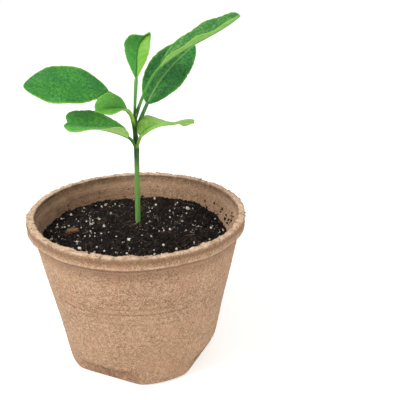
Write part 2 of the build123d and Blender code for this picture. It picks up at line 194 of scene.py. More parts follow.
class BladeSettings(bpy.types.PropertyGroup):
    """Shape and tones of one leaf."""
    leave: amount("Leaves the stem", "Share of the stem's rise where the petiole leaves", 1.0)
    foot: FloatVectorProperty(name="Blade foot", size=3,
                              description="Foot of the blade from the stem's foot, by its rise")
    reach: amount("Length", "Share of the longest leaf's length", 1.0)
    width: amount("Width", "Width as a share of its own length", 0.5)
    swell: FloatVectorProperty(name="Petiole swell", size=2,
                               description="Thickness at both ends of the petiole, as shares")
    bend: amount("Petiole bend", "Share of the petiole's length", 0.4)
    outline: FloatVectorProperty(name="Outline", size=2,
                                 description="Powers for the widest place and the fullness")
    heading: angles("Heading")
    rise: angles("Rise")
    roll: angles("Roll")
    fold: angles("Fold")
    pinch: FloatVectorProperty(name="Pinch", size=4, default=(0.5, 1.0, 0.0, 0.0),
                               description="Place, reach and depths where the halves draw in")
    notch: amount("Notch", "Depth of the notch in the tip, as a share of the length", 0.0)
    veins: amount("Veins", "How clearly the side veins show", 0.15)
    ribbed: amount("Midrib", "How clearly the midrib shows on the upper side", 0.3)
    blotch: amount("Blotches", "How strong the mottling is", 0.6)
    # Painted light: the share of each half that is painted yellow-green where it faces the light
    fresh: FloatVectorProperty(name="Fresh growth", size=2,
                               description="Yellow-green share of the left and right half")
    # Painted shade on the petiole's foot near the fork
    shaded_foot: FloatVectorProperty(name="Dark foot", size=2, default=(-0.2, -0.1),
                              description="Where the petiole turns from the stem's tone "
                                          "to its own, as shares of the stem's rise")
    upper: tone("Upper side", "Main tone of the upper side", 70, 138, 62)
    young: tone("Young growth", "Mottling and margins of the upper side", 118, 176, 72)
    deep: tone("Deep green", "Shade tone near the midrib and veins", 38, 96, 46)
    under: tone("Underside", "Main tone of the underside", 128, 168, 92)
    stalk: tone("Petiole", "Tone of the petiole", 96, 146, 62)
    # On most leaves the midrib tone is darker than the blade, as painted shade in the midrib's
    # groove; on back_right it is the midrib's own paler colour
    rib: tone("Midrib", "Tone of the midrib on the upper side", 120, 170, 90)


class PlantSettings(bpy.types.PropertyGroup):
    """Sizes that all parts of the seedling share."""
    stem_back: length("Stem place, back", "From the pot's axis", 9.0)
    stem_right: length("Stem place, right", "From the pot's axis", 0.3)
    soil_level: length("Level of the mix", "Above the pot's underside", 61.0)
    stem_rise: length("Stem rise", "From the mix to the top node", 54.0)
    stem_diameter: length("Stem diameter", "Just above the mix", 2.5)
    petiole_diameter: length("Petiole diameter", "Before each petiole's own share", 1.6)
    leaf_length: length("Longest leaf", "Length of the longest blade", 41.0)
    blade_thickness: length("Blade thickness", "Thickness between the veins", 0.35)
    midrib: length("Midrib", "Width of the keel under the blade at its foot", 1.0)
    tip_width: length("Blade end width", "Width of a blade at its very ends", 0.5)
    camber: amount("Camber", "Bow of each half, as a share of its width", 0.08)
    crenation: length("Crenation", "Depth of the margin's scallops", 0.42)
    scallop: length("Scallop", "Length of one scallop of the margin", 3.1)
    wave: length("Margin wave", "Rise and fall of the margin", 0.55)
    pucker: length("Pucker", "Height of the puckers between the side veins", 0.07)
    stem_low: tone("Stem", "Stem near the mix", 106, 160, 74)
    # The upper stem tone is painted shade, on the stem and the petioles' feet under the leaves at
    # the fork
    stem_shaded: tone("Stem, upper", "Stem near the top node", 30, 78, 30)
    root: tone("Root", "Roots in the mix", 196, 168, 122)


class StageSettings(bpy.types.PropertyGroup):
    """Camera, floor and lamps."""
    eye: stage_point("Camera", "Place of the camera", (0.0, -0.285, 0.195))
    aim: stage_point("Aim", "Point that the camera looks at", (0.0292, 0.0, 0.0764))
    lens: amount("Lens", "Focal length in millimetres", 60)
    floor: tone("Floor", "Pale floor", 246, 246, 244)
    key_power: watts("Key", "Power of the main lamp", 7.1)
    fill_power: watts("Fill", "Power of the fill lamp", 3.1)
    sky: amount("Sky", "Strength of the even light from all round", 0.5)


# Tones that no setting holds
TONES = {
    "pulp_dot": paint(98, 68, 46),
    "ruddy": paint(196, 146, 118),
    "ochre": paint(206, 172, 134),
    "pulp_bit": paint(78, 52, 36),
    # Painted light on the lip's upward-facing top
    "lit_lip_top": paint(230, 200, 170),
    "soil_stain": paint(74, 54, 40),
    "moss": paint(112, 108, 62),
    "wet_line": paint(70, 48, 34),
    # Painted light on the ledge inside the lip, and painted shade on the lip's inner face
    "ledge": paint(190, 154, 120),
    "lip_face_shade": paint(72, 50, 36),
    "dust": paint(170, 150, 122),
    "pore": paint(150, 136, 116),
    "soiled": paint(140, 126, 106),
    "bark_groove": paint(74, 52, 38),
    "bark_patch": paint(166, 124, 92),
    "stalk_light": paint(150, 186, 96),
    "stalk_dark": paint(34, 84, 28),
    # Painted light on the half of a blade that faces the light
    "fresh_leaf": paint(120, 176, 62),
    "leaf_edge": paint(128, 184, 62),
    "underside_light": paint(214, 236, 160),
    "root_groove": paint(150, 118, 78),
    "bud_foot": paint(50, 100, 36),
    "bud_tip": paint(96, 150, 54),
}

# Each leaf of the seedling, by the end of its node's name
LEAVES = {
    "large_left": dict(
        leave=0.963, foot=(-0.194, -0.055, 1.216), reach=0.903, width=0.53, swell=(0.80, 0.80),
        bend=0.1, outline=(1.16, 0.61), heading=(194, 182, 180), rise=(20, 5, 0),
        roll=(50, 45, 36), fold=(7, 8, 7), veins=0.12, ribbed=0.5, blotch=0.7,
        upper=(46, 124, 50), young=(92, 160, 52), deep=(28, 98, 44), rib=(34, 98, 42),
        under=(120, 164, 92), stalk=(88, 140, 60)),
    "small_left": dict(
        leave=0.796, foot=(-0.055, -0.093, 1.073), reach=0.385, width=0.86, swell=(1.25, 1.10),
        bend=0.22, outline=(1.14, 0.56), heading=(212, 206, 219), rise=(29, 4, 4),
        roll=(25, 38, 25), fold=(27, 39, 11), veins=0.15, ribbed=0.1, blotch=0.4,
        upper=(88, 158, 58), young=(130, 190, 66), deep=(60, 130, 48), rib=(84, 152, 56),
        under=(176, 212, 112), stalk=(140, 190, 66), shaded_foot=(0.91, 0.99)),
    "lower_left": dict(
        leave=0.713, foot=(-0.058, -0.053, 0.832), reach=0.731, width=0.563, swell=(0.95, 0.80),
        bend=0.30, outline=(1.42, 0.34), heading=(195, 193, 186), rise=(34, 15, 22),
        roll=(0, 15, 35), fold=(50, 30, 11), notch=0.05, veins=0.15, ribbed=0.15, blotch=0.6,
        upper=(76, 158, 66), young=(138, 198, 90), deep=(50, 124, 54), rib=(50, 120, 50),
        under=(204, 248, 150), stalk=(70, 126, 48)),
    "top": dict(
        leave=1.0, foot=(0.026, -0.005, 1.301), reach=0.552, width=0.565, swell=(0.70, 1.10),
        bend=0.50, outline=(1.57, 0.62), heading=(74, 9, 6), rise=(69, 82, 17),
        roll=(7, -49, -106), fold=(29, 14, 62), pinch=(0.884, 0.072, 0.67, 0.0),
        veins=0.3, ribbed=1.0, blotch=0.25, fresh=(0.0, 0.9),
        upper=(62, 142, 56), young=(136, 188, 74), deep=(42, 114, 46),
        rib=(28, 92, 38), under=(150, 192, 96), stalk=(84, 146, 56), shaded_foot=(1.04, 1.13)),
    "back_right": dict(
        leave=0.861, foot=(0.111, 0.057, 1.086), reach=0.849, width=0.515, swell=(1.20, 1.05),
        bend=0.40, outline=(1.03, 0.6), heading=(21, 17, 23), rise=(62, 46, 32),
        roll=(-68, -59, -54), fold=(6, 10, 0), veins=0.3, ribbed=0.9, blotch=0.6,
        upper=(36, 116, 50), young=(96, 160, 76), deep=(18, 74, 32), rib=(150, 190, 112),
        under=(112, 154, 88), stalk=(44, 116, 40)),
    "upper_right": dict(
        leave=0.972, foot=(0.223, -0.058, 1.417), reach=0.994, width=0.389, swell=(0.90, 0.75),
        bend=0.32, outline=(1.33, 0.44), heading=(347, 352, 351), rise=(45, 28, 42),
        roll=(-14, -11, -14), fold=(32, 30, 23), veins=0.1, ribbed=0.4, blotch=0.65,
        upper=(52, 124, 44), young=(118, 176, 84), deep=(28, 88, 34), rib=(40, 98, 40),
        under=(140, 196, 92), stalk=(70, 140, 44), shaded_foot=(1.02, 1.13)),
    "lower_right": dict(
        leave=0.722, foot=(0.048, -0.064, 0.841), reach=0.678, width=0.62, swell=(1.00, 0.85),
        bend=0.35, outline=(0.75, 0.52), heading=(347, 385, 313), rise=(64, -4, 22),
        roll=(-33, 5, -13), fold=(32, 7, 0), pinch=(0.648, 0.12, 0.72, 0.19),
        veins=0.2, ribbed=0.8, blotch=0.35,
        upper=(146, 198, 84), young=(186, 222, 124), deep=(104, 156, 62), rib=(70, 116, 42),
        under=(178, 214, 106), stalk=(132, 180, 70)),
}

# Along the stem: height share, sideways share of the rise, and thickness share
STEM_SHARES = [
    (-0.148, -0.006, 1.0), (0.0, -0.004, 1.04), (0.04, -0.003, 1.0), (0.43, 0.004, 0.95),
    (0.68, 0.008, 0.94), (0.715, 0.009, 1.08), (0.745, 0.008, 0.80), (0.83, 0.004, 0.78),
    (0.93, 0.004, 0.76), (0.965, 0.004, 0.95), (1.0, 0.004, 0.72),
]


def settings(name):
    """The property group that holds one kind of setting."""
    return getattr(bpy.context.scene, "peat_pot_" + name)


# Shaping helpers

def nothing_selected():
    """Clears the selection, so that the next primitive stands alone."""
    if bpy.context.mode != "OBJECT":
        bpy.ops.object.mode_set(mode="OBJECT")
    bpy.ops.object.select_all(action="DESELECT")


def only(*pieces):
    """Selects just these objects, the first one active."""
    nothing_selected()
    for piece in pieces:
        piece.select_set(True)
    bpy.context.view_layer.objects.active = pieces[0]


def named(name):
    """The active object under a new name."""
    piece = bpy.context.object
    piece.name = piece.data.name = name
    return piece


def settle(piece):
    """Moves the place, turn and size of a piece into its mesh."""
    only(piece)
    bpy.ops.object.transform_apply(location=True, rotation=True, scale=True)
    return piece


def modified(piece, kind, **values):
    """Adds a modifier with these values and applies it."""
    only(piece)
    modifier = piece.modifiers.new(kind.title(), kind)
    for key, value in values.items():
        setattr(modifier, key, value)
    bpy.ops.object.modifier_apply(modifier=modifier.name)
    return piece


def roughened(piece, size, height):
    """Real relief from procedural clouds of this width and height."""
    clouds = bpy.data.textures.new("Clouds", "CLOUDS")
    clouds.noise_scale, clouds.noise_depth = size, 2
    return modified(piece, "DISPLACE", texture=clouds, strength=height, mid_level=0.5,
                    texture_coords="LOCAL", direction="NORMAL")


def node_copy(node, name):
    """A merged copy of a CAD node's mesh, to shape further."""
    nothing_selected()
    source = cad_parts[node]
    piece = source.copy()
    piece.data = source.data.copy()
    for key in [key for key in piece.keys() if key.startswith("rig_")]:
        del piece[key]
    piece.parent = None
    piece.hide_render = piece.hide_viewport = False
    bpy.context.scene.collection.objects.link(piece)
    only(piece)
    named(name)
    bpy.ops.object.mode_set(mode="EDIT")
    bpy.ops.mesh.select_all(action="SELECT")
    bpy.ops.mesh.remove_doubles(threshold=0.004 * MM)
    bpy.ops.object.mode_set(mode="OBJECT")
    piece.data.materials.clear()
    return piece


def loose_parts(node):
    """Middle and size of each separate solid of a CAD node."""
    piece = node_copy(node, "loose")
    mesh = bmesh.new()
    mesh.from_mesh(piece.data)
    left, found = set(mesh.verts), []
    while left:
        heap = [left.pop()]
        group = list(heap)
        while heap:
            for edge in heap.pop().link_edges:
                for vert in edge.verts:
                    if vert in left:
                        left.discard(vert)
                        heap.append(vert)
                        group.append(vert)
        low = Vector([min(v.co[i] for v in group) for i in range(3)])
        high = Vector([max(v.co[i] for v in group) for i in range(3)])
        found.append(((low + high) / 2, high - low))
    mesh.free()
    bpy.data.objects.remove(piece)
    return sorted(found, key=lambda part: tuple(part[0]))


def joined(pieces, name, shapes):
    """Scattered copies as one object, without the shapes that they were copied from."""
    only(*pieces)
    bpy.ops.object.join()
    made = settle(named(name))
    for shape in shapes:
        bpy.data.objects.remove(shape)
    return made


def marked(piece, key, values):
    """Keeps one number for each point of a piece, for its material."""
    made = piece.data.attributes.new(key, "FLOAT", "POINT")
    made.data.foreach_set("value", values)


def lumps(count, seed, bumps, level=2):
    """A few uneven lumps of unit size, to copy."""
    made = []
    for k in range(count):
        nothing_selected()
        bpy.ops.mesh.primitive_ico_sphere_add(subdivisions=level, radius=0.5)
        piece = named("lump")
        for vert in piece.data.vertices:
            where = vert.co * 2.1 + Vector((seed * 3.7, k * 5.1, 0))
            vert.co *= 1 + bumps * noise.noise(where) + bumps * 0.5 * noise.noise(where * 2.7)
        made.append(piece)
    return made


def laid(shapes, draw, place, size):
    """A copy of a lump, turned at random and set down."""
    source = draw.choice(shapes)
    piece = source.copy()
    piece.data = source.data.copy()
    bpy.context.scene.collection.objects.link(piece)
    piece.location = place
    piece.rotation_euler = [draw.uniform(0, 2 * pi) for _ in range(3)]
    piece.scale = [s * draw.uniform(0.8, 1.15) for s in size]
    return piece


def finished(piece, material, slot, *nodes, angle=40):
    """Gives a piece its material and its body and hides the CAD nodes that it stands for; the slot
    is not used.
    """
    only(piece)
    bpy.ops.object.shade_smooth_by_angle(angle=radians(angle))
    piece.data.materials.clear()
    piece.data.materials.append(material)
    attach(piece, "root")
    if nodes:
        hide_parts(*nodes)
    return piece


def tubes(lines, name, sides=4, smooth=False):
    """Tubes along lines of (points, radii), as one mesh of closed shells."""
    curve = bpy.data.curves.new(name, "CURVE")
    curve.dimensions = "3D"
    curve.bevel_depth = 1
    curve.bevel_resolution = sides // 2 - 2
    curve.use_fill_caps = True
    for points, radii in lines:
        line = curve.splines.new("NURBS" if smooth else "POLY")
        line.points.add(len(points) - 1)
        for knot, point, radius in zip(line.points, points, radii):
            knot.co = (*point, 1)
            knot.radius = radius
        if smooth:
            line.order_u = min(4, len(points))
            line.use_endpoint_u = True
            line.resolution_u = 4
    piece = bpy.data.objects.new(name, curve)
    bpy.context.scene.collection.objects.link(piece)
    only(piece)
    bpy.ops.object.convert(target="MESH")
    return named(name)


# Material helpers

class Recipe:
    """A material under construction, with short ways to add its nodes."""

    def __init__(self, name):
        self.material = bpy.data.materials.new(name)
        self.material.use_nodes = True
        self.tree = self.material.node_tree
        self.shader = self.tree.nodes["Principled BSDF"]
        self.place = self.node("ShaderNodeTexCoord").outputs["Object"]

    def node(self, kind, **values):
        """A new node with these settings."""
        made = self.tree.nodes.new(kind)
        for key, value in values.items():
            setattr(made, key, value)
        return made

    def put(self, socket, value):
        """Links another node's output to a socket, or gives it a plain value."""
        if isinstance(value, bpy.types.NodeSocket):
            self.tree.links.new(value, socket)
        else:
            socket.default_value = value

    def feed(self, node, **inputs):
        """Fills a node's inputs, whose names are written with underscores for spaces."""
        for key, value in inputs.items():
            self.put(node.inputs[key.replace("_", " ")], value)
        return node

    def noise(self, size, detail=3.0, rough=0.55, stretch=(1, 1, 1), shift=(0, 0, 0)):
        """Noise whose lumps have this width in metres."""
        mapping = self.feed(self.node("ShaderNodeMapping"), Vector=self.place,
                            Location=shift, Scale=stretch)
        made = self.feed(self.node("ShaderNodeTexNoise"), Vector=mapping.outputs[0],
                         Scale=1 / size, Detail=detail, Roughness=rough)
        return made.outputs["Fac"]

    def cells(self, size, shift=(0, 0, 0)):
        """Distance to scattered points this far apart."""
        mapping = self.feed(self.node("ShaderNodeMapping"), Vector=self.place, Location=shift)
        made = self.feed(self.node("ShaderNodeTexVoronoi"), Vector=mapping.outputs[0],
                         Scale=1 / size)
        return made.outputs["Distance"]

    def ramp(self, value, low, high, start=0.0, end=1.0):
        """A value stretched from low..high to start..end, with smooth ends."""
        made = self.node("ShaderNodeMapRange", interpolation_type="SMOOTHSTEP")
        self.feed(made, Value=value, From_Min=low, From_Max=high, To_Min=start, To_Max=end)
        return made.outputs["Result"]

    def math(self, operation, first, second):
        """A sum on two values."""
        made = self.node("ShaderNodeMath", operation=operation)
        for socket, value in zip(made.inputs, (first, second)):
            self.put(socket, value)
        return made.outputs[0]

    def times(self, first, second):
        """One value times another."""
        return self.math("MULTIPLY", first, second)

    def mix(self, share, first, second):
        """One colour over another by a share."""
        made = self.node("ShaderNodeMix", data_type="RGBA")
        self.put(made.inputs[0], share)
        for socket, colour in zip(made.inputs[6:8], (first, second)):
            if not isinstance(colour, bpy.types.NodeSocket):
                colour = (*colour[:3], 1)
            self.put(socket, colour)
        return made.outputs[2]

    def wash(self, colour, over, value, low, high, share):
        """One colour over another, up to a share, where a value goes from low to high."""
        return self.mix(self.ramp(value, low, high, 0, share), colour, over)

    def attribute(self, name):
        """The numbers that marked() left on a piece."""
        return self.node("ShaderNodeAttribute", attribute_name=name).outputs["Fac"]

    def height(self):
        """Height above the pot's underside, in metres."""
        split = self.feed(self.node("ShaderNodeSeparateXYZ"), Vector=self.place)
        return split.outputs["Z"]

    def bumps(self, *layers):
        """Fine relief from (value, depth in metres) pairs."""
        normal = None
        for value, depth in layers:
            made = self.feed(self.node("ShaderNodeBump"), Height=value, Distance=depth)
            if normal is not None:
                self.feed(made, Normal=normal)
            normal = made.outputs["Normal"]
        self.feed(self.shader, Normal=normal)

    def done(self, colour, roughness, specular, sheen=0.0):
        """The material with its colour and gloss."""
        self.feed(self.shader, Base_Color=colour, Roughness=roughness,
                  Specular_IOR_Level=specular, Sheen_Weight=sheen)
        return self.material


def pulp_material(pot):
    """Pressed peat and wood fibre: tan, finely speckled, dark and damp inside, with painted light
    and shade on the lip, the ridge under it, the mould's rings and the inner wall.
    """
    mix = Recipe("Peat pulp")
    speckle = mix.noise(0.62 * MM, 2, 0.8)
    grain = mix.noise(1.9 * MM, 3, 0.6, shift=(0.3, 0.1, 0.2))
    cloud = mix.noise(24 * MM, 3, 0.6)
    ruddy = mix.noise(13 * MM, 3, 0.6, shift=(0.6, 0.2, 0.7))
    colour = mix.mix(mix.ramp(speckle, 0.4, 0.62), pot.dark, pot.light)
    colour = mix.mix(0.42, colour, pot.middle)
    dots = mix.ramp(mix.cells(1.15 * MM, shift=(0.3, 0.6, 0.4)), 0.34, 0.12)
    dots = mix.times(dots, mix.ramp(grain, 0.62, 0.42))
    colour = mix.mix(mix.times(dots, 0.75), colour, TONES["pulp_dot"])
    low = mix.ramp(mix.height(), 34 * MM, 0.0, 0, 0.14)
    colour = mix.mix(low, colour, pot.dark)
    streaks = mix.noise(1.4 * MM, 3, 0.6, stretch=(1, 1, 0.3), shift=(0.5, 0.5, 0.1))
    flat = mix.times(mix.attribute("flat"), mix.ramp(streaks, 0.35, 0.65, 0.75, 0.2))
    colour = mix.mix(flat, colour, pot.dark)
    colour = mix.wash(colour, pot.light, grain, 0.5, 0.72, 0.4)
    colour = mix.wash(colour, pot.dark, grain, 0.45, 0.3, 0.3)
    colour = mix.wash(colour, TONES["ruddy"], ruddy, 0.5, 0.72, 0.4)
    colour = mix.wash(colour, TONES["ochre"], cloud, 0.42, 0.7, 0.28)
    fibres = mix.noise(1.5 * MM, 2, 0.5, stretch=(1, 1, 5), shift=(0.7, 0.2, 0.4))
    colour = mix.wash(colour, pot.dark, fibres, 0.58, 0.7, 0.32)
    bits = mix.cells(3.4 * MM, shift=(0.05, 0.02, 0.01))
    size = mix.noise(8 * MM, 2, 0.5, shift=(0.9, 0.5, 0.1))
    bit = mix.times(mix.ramp(bits, 0.15, 0.08), mix.ramp(size, 0.47, 0.58))
    colour = mix.mix(mix.times(bit, 0.8), colour, TONES["pulp_bit"])
    # Painted shade in the grooves of the mould's rings, broken up by the speckle
    rings = mix.attribute("rings")
    lined = mix.times(rings, mix.ramp(speckle, 0.3, 0.7, 0.9, 0.3))
    colour = mix.mix(lined, colour, pot.dark)
    # Painted light: the lip's upward-facing top is painted pale, broken up in torn-looking patches
    crest, ridge_shading = mix.attribute("lip"), mix.attribute("ridge")
    torn = mix.ramp(grain, 0.35, 0.6, 0.25, 0.8)
    colour = mix.mix(mix.times(crest, torn), colour, TONES["lit_lip_top"])
    # Painted highlight on the ridge under the lip and painted shade over and under it
    over = mix.math("MAXIMUM", ridge_shading, 0.0)
    under = mix.math("MAXIMUM", mix.times(ridge_shading, -1.0), 0.0)
    colour = mix.mix(mix.times(over, 0.35), colour, pot.light)
    colour = mix.mix(mix.times(under, 0.6), colour, pot.dark)
    inside = mix.attribute("inside")
    # The damp stain inside, laid on heavier away from the lit side as painted shade
    stain = mix.times(inside, mix.ramp(mix.noise(6 * MM, 3, 0.6), 0.25, 0.7, 1.0, 0.6))
    colour = mix.mix(stain, colour, pot.damp)
    streak = mix.noise(1.6 * MM, 3, 0.6, stretch=(0.3, 0.3, 1.0), shift=(0.4, 0.1, 0.9))
    soil = mix.times(inside, mix.ramp(streak, 0.5, 0.68, 0, 0.5))
    colour = mix.mix(soil, colour, TONES["soil_stain"])
    damp = mix.noise(11 * MM, 2, 0.5, shift=(0.1, 0.9, 0.3))
    moss = mix.times(inside, mix.ramp(damp, 0.58, 0.7, 0, 0.4))
    colour = mix.mix(moss, colour, TONES["moss"])
    lines = mix.noise(0.9 * MM, 3, 0.6, stretch=(0.06, 0.06, 1.0), shift=(0.8, 0.1, 0.2))
    lined = mix.times(inside, mix.ramp(lines, 0.45, 0.62, 0, 0.45))
    colour = mix.mix(lined, colour, TONES["wet_line"])
    # Painted shade on the lip's inner face, and painted light on the ledge under it
    inner_lip_shading = mix.attribute("inner_lip")
    ledge_light = mix.math("MAXIMUM", mix.times(inner_lip_shading, -0.4), 0.0)
    colour = mix.mix(ledge_light, colour, TONES["ledge"])
    shade = mix.times(mix.math("MAXIMUM", inner_lip_shading, 0.0), mix.ramp(lines, 0.4, 0.6, 0.7, 1.0))
    colour = mix.mix(shade, colour, TONES["lip_face_shade"])
    ridges = mix.noise(0.9 * MM, 2, 0.5, stretch=(0.03, 0.03, 1.0), shift=(0.2, 0.6, 0.3))
    where = mix.noise(24 * MM, 2, 0.5, shift=(0.1, 0.35, 0.8))
    ridge = mix.times(ridges, mix.ramp(where, 0.4, 0.6))
    mix.bumps((speckle, 0.24 * MM), (grain, 0.4 * MM), (fibres, 0.2 * MM), (ridge, 0.3 * MM))
    return mix.done(colour, 0.95, specular=0.2, sheen=0.06)


def mix_material(soil):
    """Moist peat, painted black in its gaps as shade, with brown and reddish bits on the crumbs."""
    mix = Recipe("Potting mix")
    crumbs = mix.noise(0.8 * MM, 4, 0.75)
    bits = mix.noise(2.2 * MM, 3, 0.7, shift=(0.2, 0.4, 0.6))
    fleck = mix.noise(0.55 * MM, 2, 0.8, shift=(0.8, 0.3, 0.1))
    colour = mix.mix(mix.ramp(crumbs, 0.4, 0.66), soil.dark, soil.middle)
    colour = mix.wash(colour, soil.red, bits, 0.54, 0.7, 0.6)
    colour = mix.wash(colour, soil.straw, fleck, 0.6, 0.68, 0.8)
    # Painted shade in the low gaps between the crumbs and in the hollow round the stem
    high = mix.ramp(mix.attribute("raised"), 0.3, 0.75)
    colour = mix.mix(high, mix.mix(0.15, (0, 0, 0), colour), colour)
    fine = mix.noise(0.4 * MM, 2, 0.6)
    mix.bumps((crumbs, 0.6 * MM), (fine, 0.2 * MM))
    return mix.done(colour, mix.ramp(crumbs, 0.3, 0.7, 0.6, 0.95), specular=0.15)


def fibre_material(soil):
    """Dry strands of peat moss."""
    mix = Recipe("Peat fibre")
    shade = mix.noise(3 * MM, 2, 0.6)
    colour = mix.mix(mix.ramp(shade, 0.35, 0.65), soil.red, soil.straw)
    mix.bumps((mix.noise(0.3 * MM), 0.05 * MM))
    return mix.done(colour, 0.85, specular=0.3)


def perlite_material(soil):
    """Expanded volcanic glass: white, porous, a little soiled."""
    mix = Recipe("Perlite")
    pores = mix.cells(0.45 * MM)
    dust = mix.noise(1.1 * MM, 3, 0.6)
    colour = mix.mix(mix.ramp(dust, 0.55, 0.8, 0, 0.5), soil.perlite, TONES["dust"])
    colour = mix.wash(colour, TONES["pore"], pores, 0.3, 0.0, 0.25)
    soiled = mix.noise(3.2 * MM, 2, 0.6, shift=(0.4, 0.7, 0.2))
    colour = mix.wash(colour, TONES["soiled"], soiled, 0.45, 0.65, 0.8)
    mix.bumps((pores, 0.25 * MM), (dust, 0.2 * MM))
    return mix.done(colour, 0.85, specular=0.3)


def bark_material(soil):
    """Splinter of bark with its grain along X."""
    mix = Recipe("Bark")
    grain = mix.noise(0.7 * MM, 3, 0.6, stretch=(0.25, 1, 1))
    patch = mix.noise(2.5 * MM, 2, 0.5)
    colour = mix.mix(mix.ramp(grain, 0.35, 0.65), TONES["bark_groove"], soil.bark)
    colour = mix.wash(colour, TONES["bark_patch"], patch, 0.5, 0.75, 0.5)
    mix.bumps((grain, 0.3 * MM))
    return mix.done(colour, 0.8, specular=0.3)


def stalk_material(name, low, high, bottom, top):
    """Green bark of a stem or petiole, from one tone at the bottom to another at the top."""
    mix = Recipe(name)
    streak = mix.noise(0.7 * MM, 3, 0.6, stretch=(1, 1, 0.16))
    colour = mix.mix(mix.ramp(mix.height(), bottom, top), low, high)
    colour = mix.wash(colour, TONES["stalk_light"], streak, 0.45, 0.75, 0.35)
    colour = mix.wash(colour, TONES["stalk_dark"], streak, 0.42, 0.25, 0.22)
    mix.bumps((streak, 0.12 * MM))
    mix.feed(mix.shader, Subsurface_Weight=0.1, Subsurface_Scale=0.6 * MM)
    return mix.done(colour, 0.45, specular=0.4)


def blade_material(name, leaf):
    """Leaf skin with its midrib, side veins, mottling and pale margin, and a paler underside, with
    painted light on the half of a blade that faces the light and painted shade in the midrib's
    groove on most blades.
    """
    mix = Recipe(name)
    side, vein = mix.attribute("underside"), mix.attribute("vein")
    rib, margin = mix.attribute("rib"), mix.attribute("margin")
    fresh, base = mix.attribute("fresh"), mix.attribute("base")
    mottle = mix.noise(1.05 * MM, 4, 0.8)
    speck = mix.noise(0.6 * MM, 2, 0.8, shift=(0.2, 0.8, 0.5))
    patch = mix.noise(4.5 * MM, 3, 0.6, shift=(0.5, 0.1, 0.4))
    cloud = mix.noise(9 * MM, 2, 0.5, shift=(0.3, 0.3, 0.3))
    fine = mix.noise(0.35 * MM, 2, 0.6)
    top = mix.mix(mix.ramp(mottle, 0.47, 0.6, 0, leaf.blotch), leaf.upper, leaf.young)
    top = mix.wash(top, leaf.deep, mottle, 0.5, 0.37, leaf.blotch)
    spots = mix.ramp(speck, 0.55, 0.64, 0, leaf.blotch)
    spots = mix.times(spots, mix.ramp(patch, 0.42, 0.6))
    top = mix.mix(spots, top, leaf.young)
    top = mix.mix(mix.ramp(cloud, 0.35, 0.6, 0.45, 0), top, leaf.deep)
    # Painted light on the half of the blade that faces the light
    top = mix.mix(fresh, top, mix.mix(mix.ramp(mottle, 0.3, 0.7), leaf.young, TONES["fresh_leaf"]))
    top = mix.mix(mix.times(vein, leaf.veins), top, leaf.deep)
    # The midrib line: painted shade in its groove where the rib tone is darker than the blade, its
    # own pale colour where lighter
    line = mix.times(rib, mix.ramp(base, 0.0, 1.0, leaf.ribbed * 0.4, leaf.ribbed))
    top = mix.mix(line, top, leaf.rib)
    top = mix.mix(margin, top, TONES["leaf_edge"])
    low = mix.mix(mix.ramp(mottle, 0.4, 0.75, 0, 0.4), leaf.under, TONES["underside_light"])
    low = mix.wash(low, leaf.young, patch, 0.5, 0.3, 0.3)
    low = mix.mix(mix.times(vein, leaf.veins), low, leaf.young)
    low = mix.mix(mix.times(rib, 0.6), low, leaf.rib)
    colour = mix.mix(side, top, low)
    mix.bumps((fine, 0.05 * MM), (mottle, 0.16 * MM))
    mix.feed(mix.shader, Subsurface_Weight=0.2, Subsurface_Radius=(0.35, 1.0, 0.25),
             Subsurface_Scale=0.9 * MM)
    rough = mix.math("ADD", mix.times(side, 0.2), 0.5)
    return mix.done(colour, rough, specular=0.25)


def root_material(plant):
    """Pale young root."""
    mix = Recipe("Root")
    grain = mix.noise(0.8 * MM, 3, 0.6, stretch=(1, 1, 0.3))
    colour = mix.mix(mix.ramp(grain, 0.35, 0.7), TONES["root_groove"], plant.root)
    mix.bumps((grain, 0.15 * MM))
    return mix.done(colour, 0.8, specular=0.3)


# Pot

def surface(piece):
    """A piece's mesh, ready to be met by straight lines."""
    return BVHTree.FromPolygons([v.co for v in piece.data.vertices],
                                [p.vertices for p in piece.data.polygons])


def wall_radius_inside(height):
    """Inner radius of the plain wall at a height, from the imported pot's own mesh."""
    point = POT_SURFACE.ray_cast(Vector((0, 0, height)), Vector((-1, -0.2, 0)).normalized())[0]
    if point is None:
        raise RuntimeError("the pot's wall was not found at %.4f" % height)
    return point.xy.length


POT_SURFACE = surface(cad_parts["peat_pot"])
MIX_SURFACE = surface(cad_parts["potting_mix"])


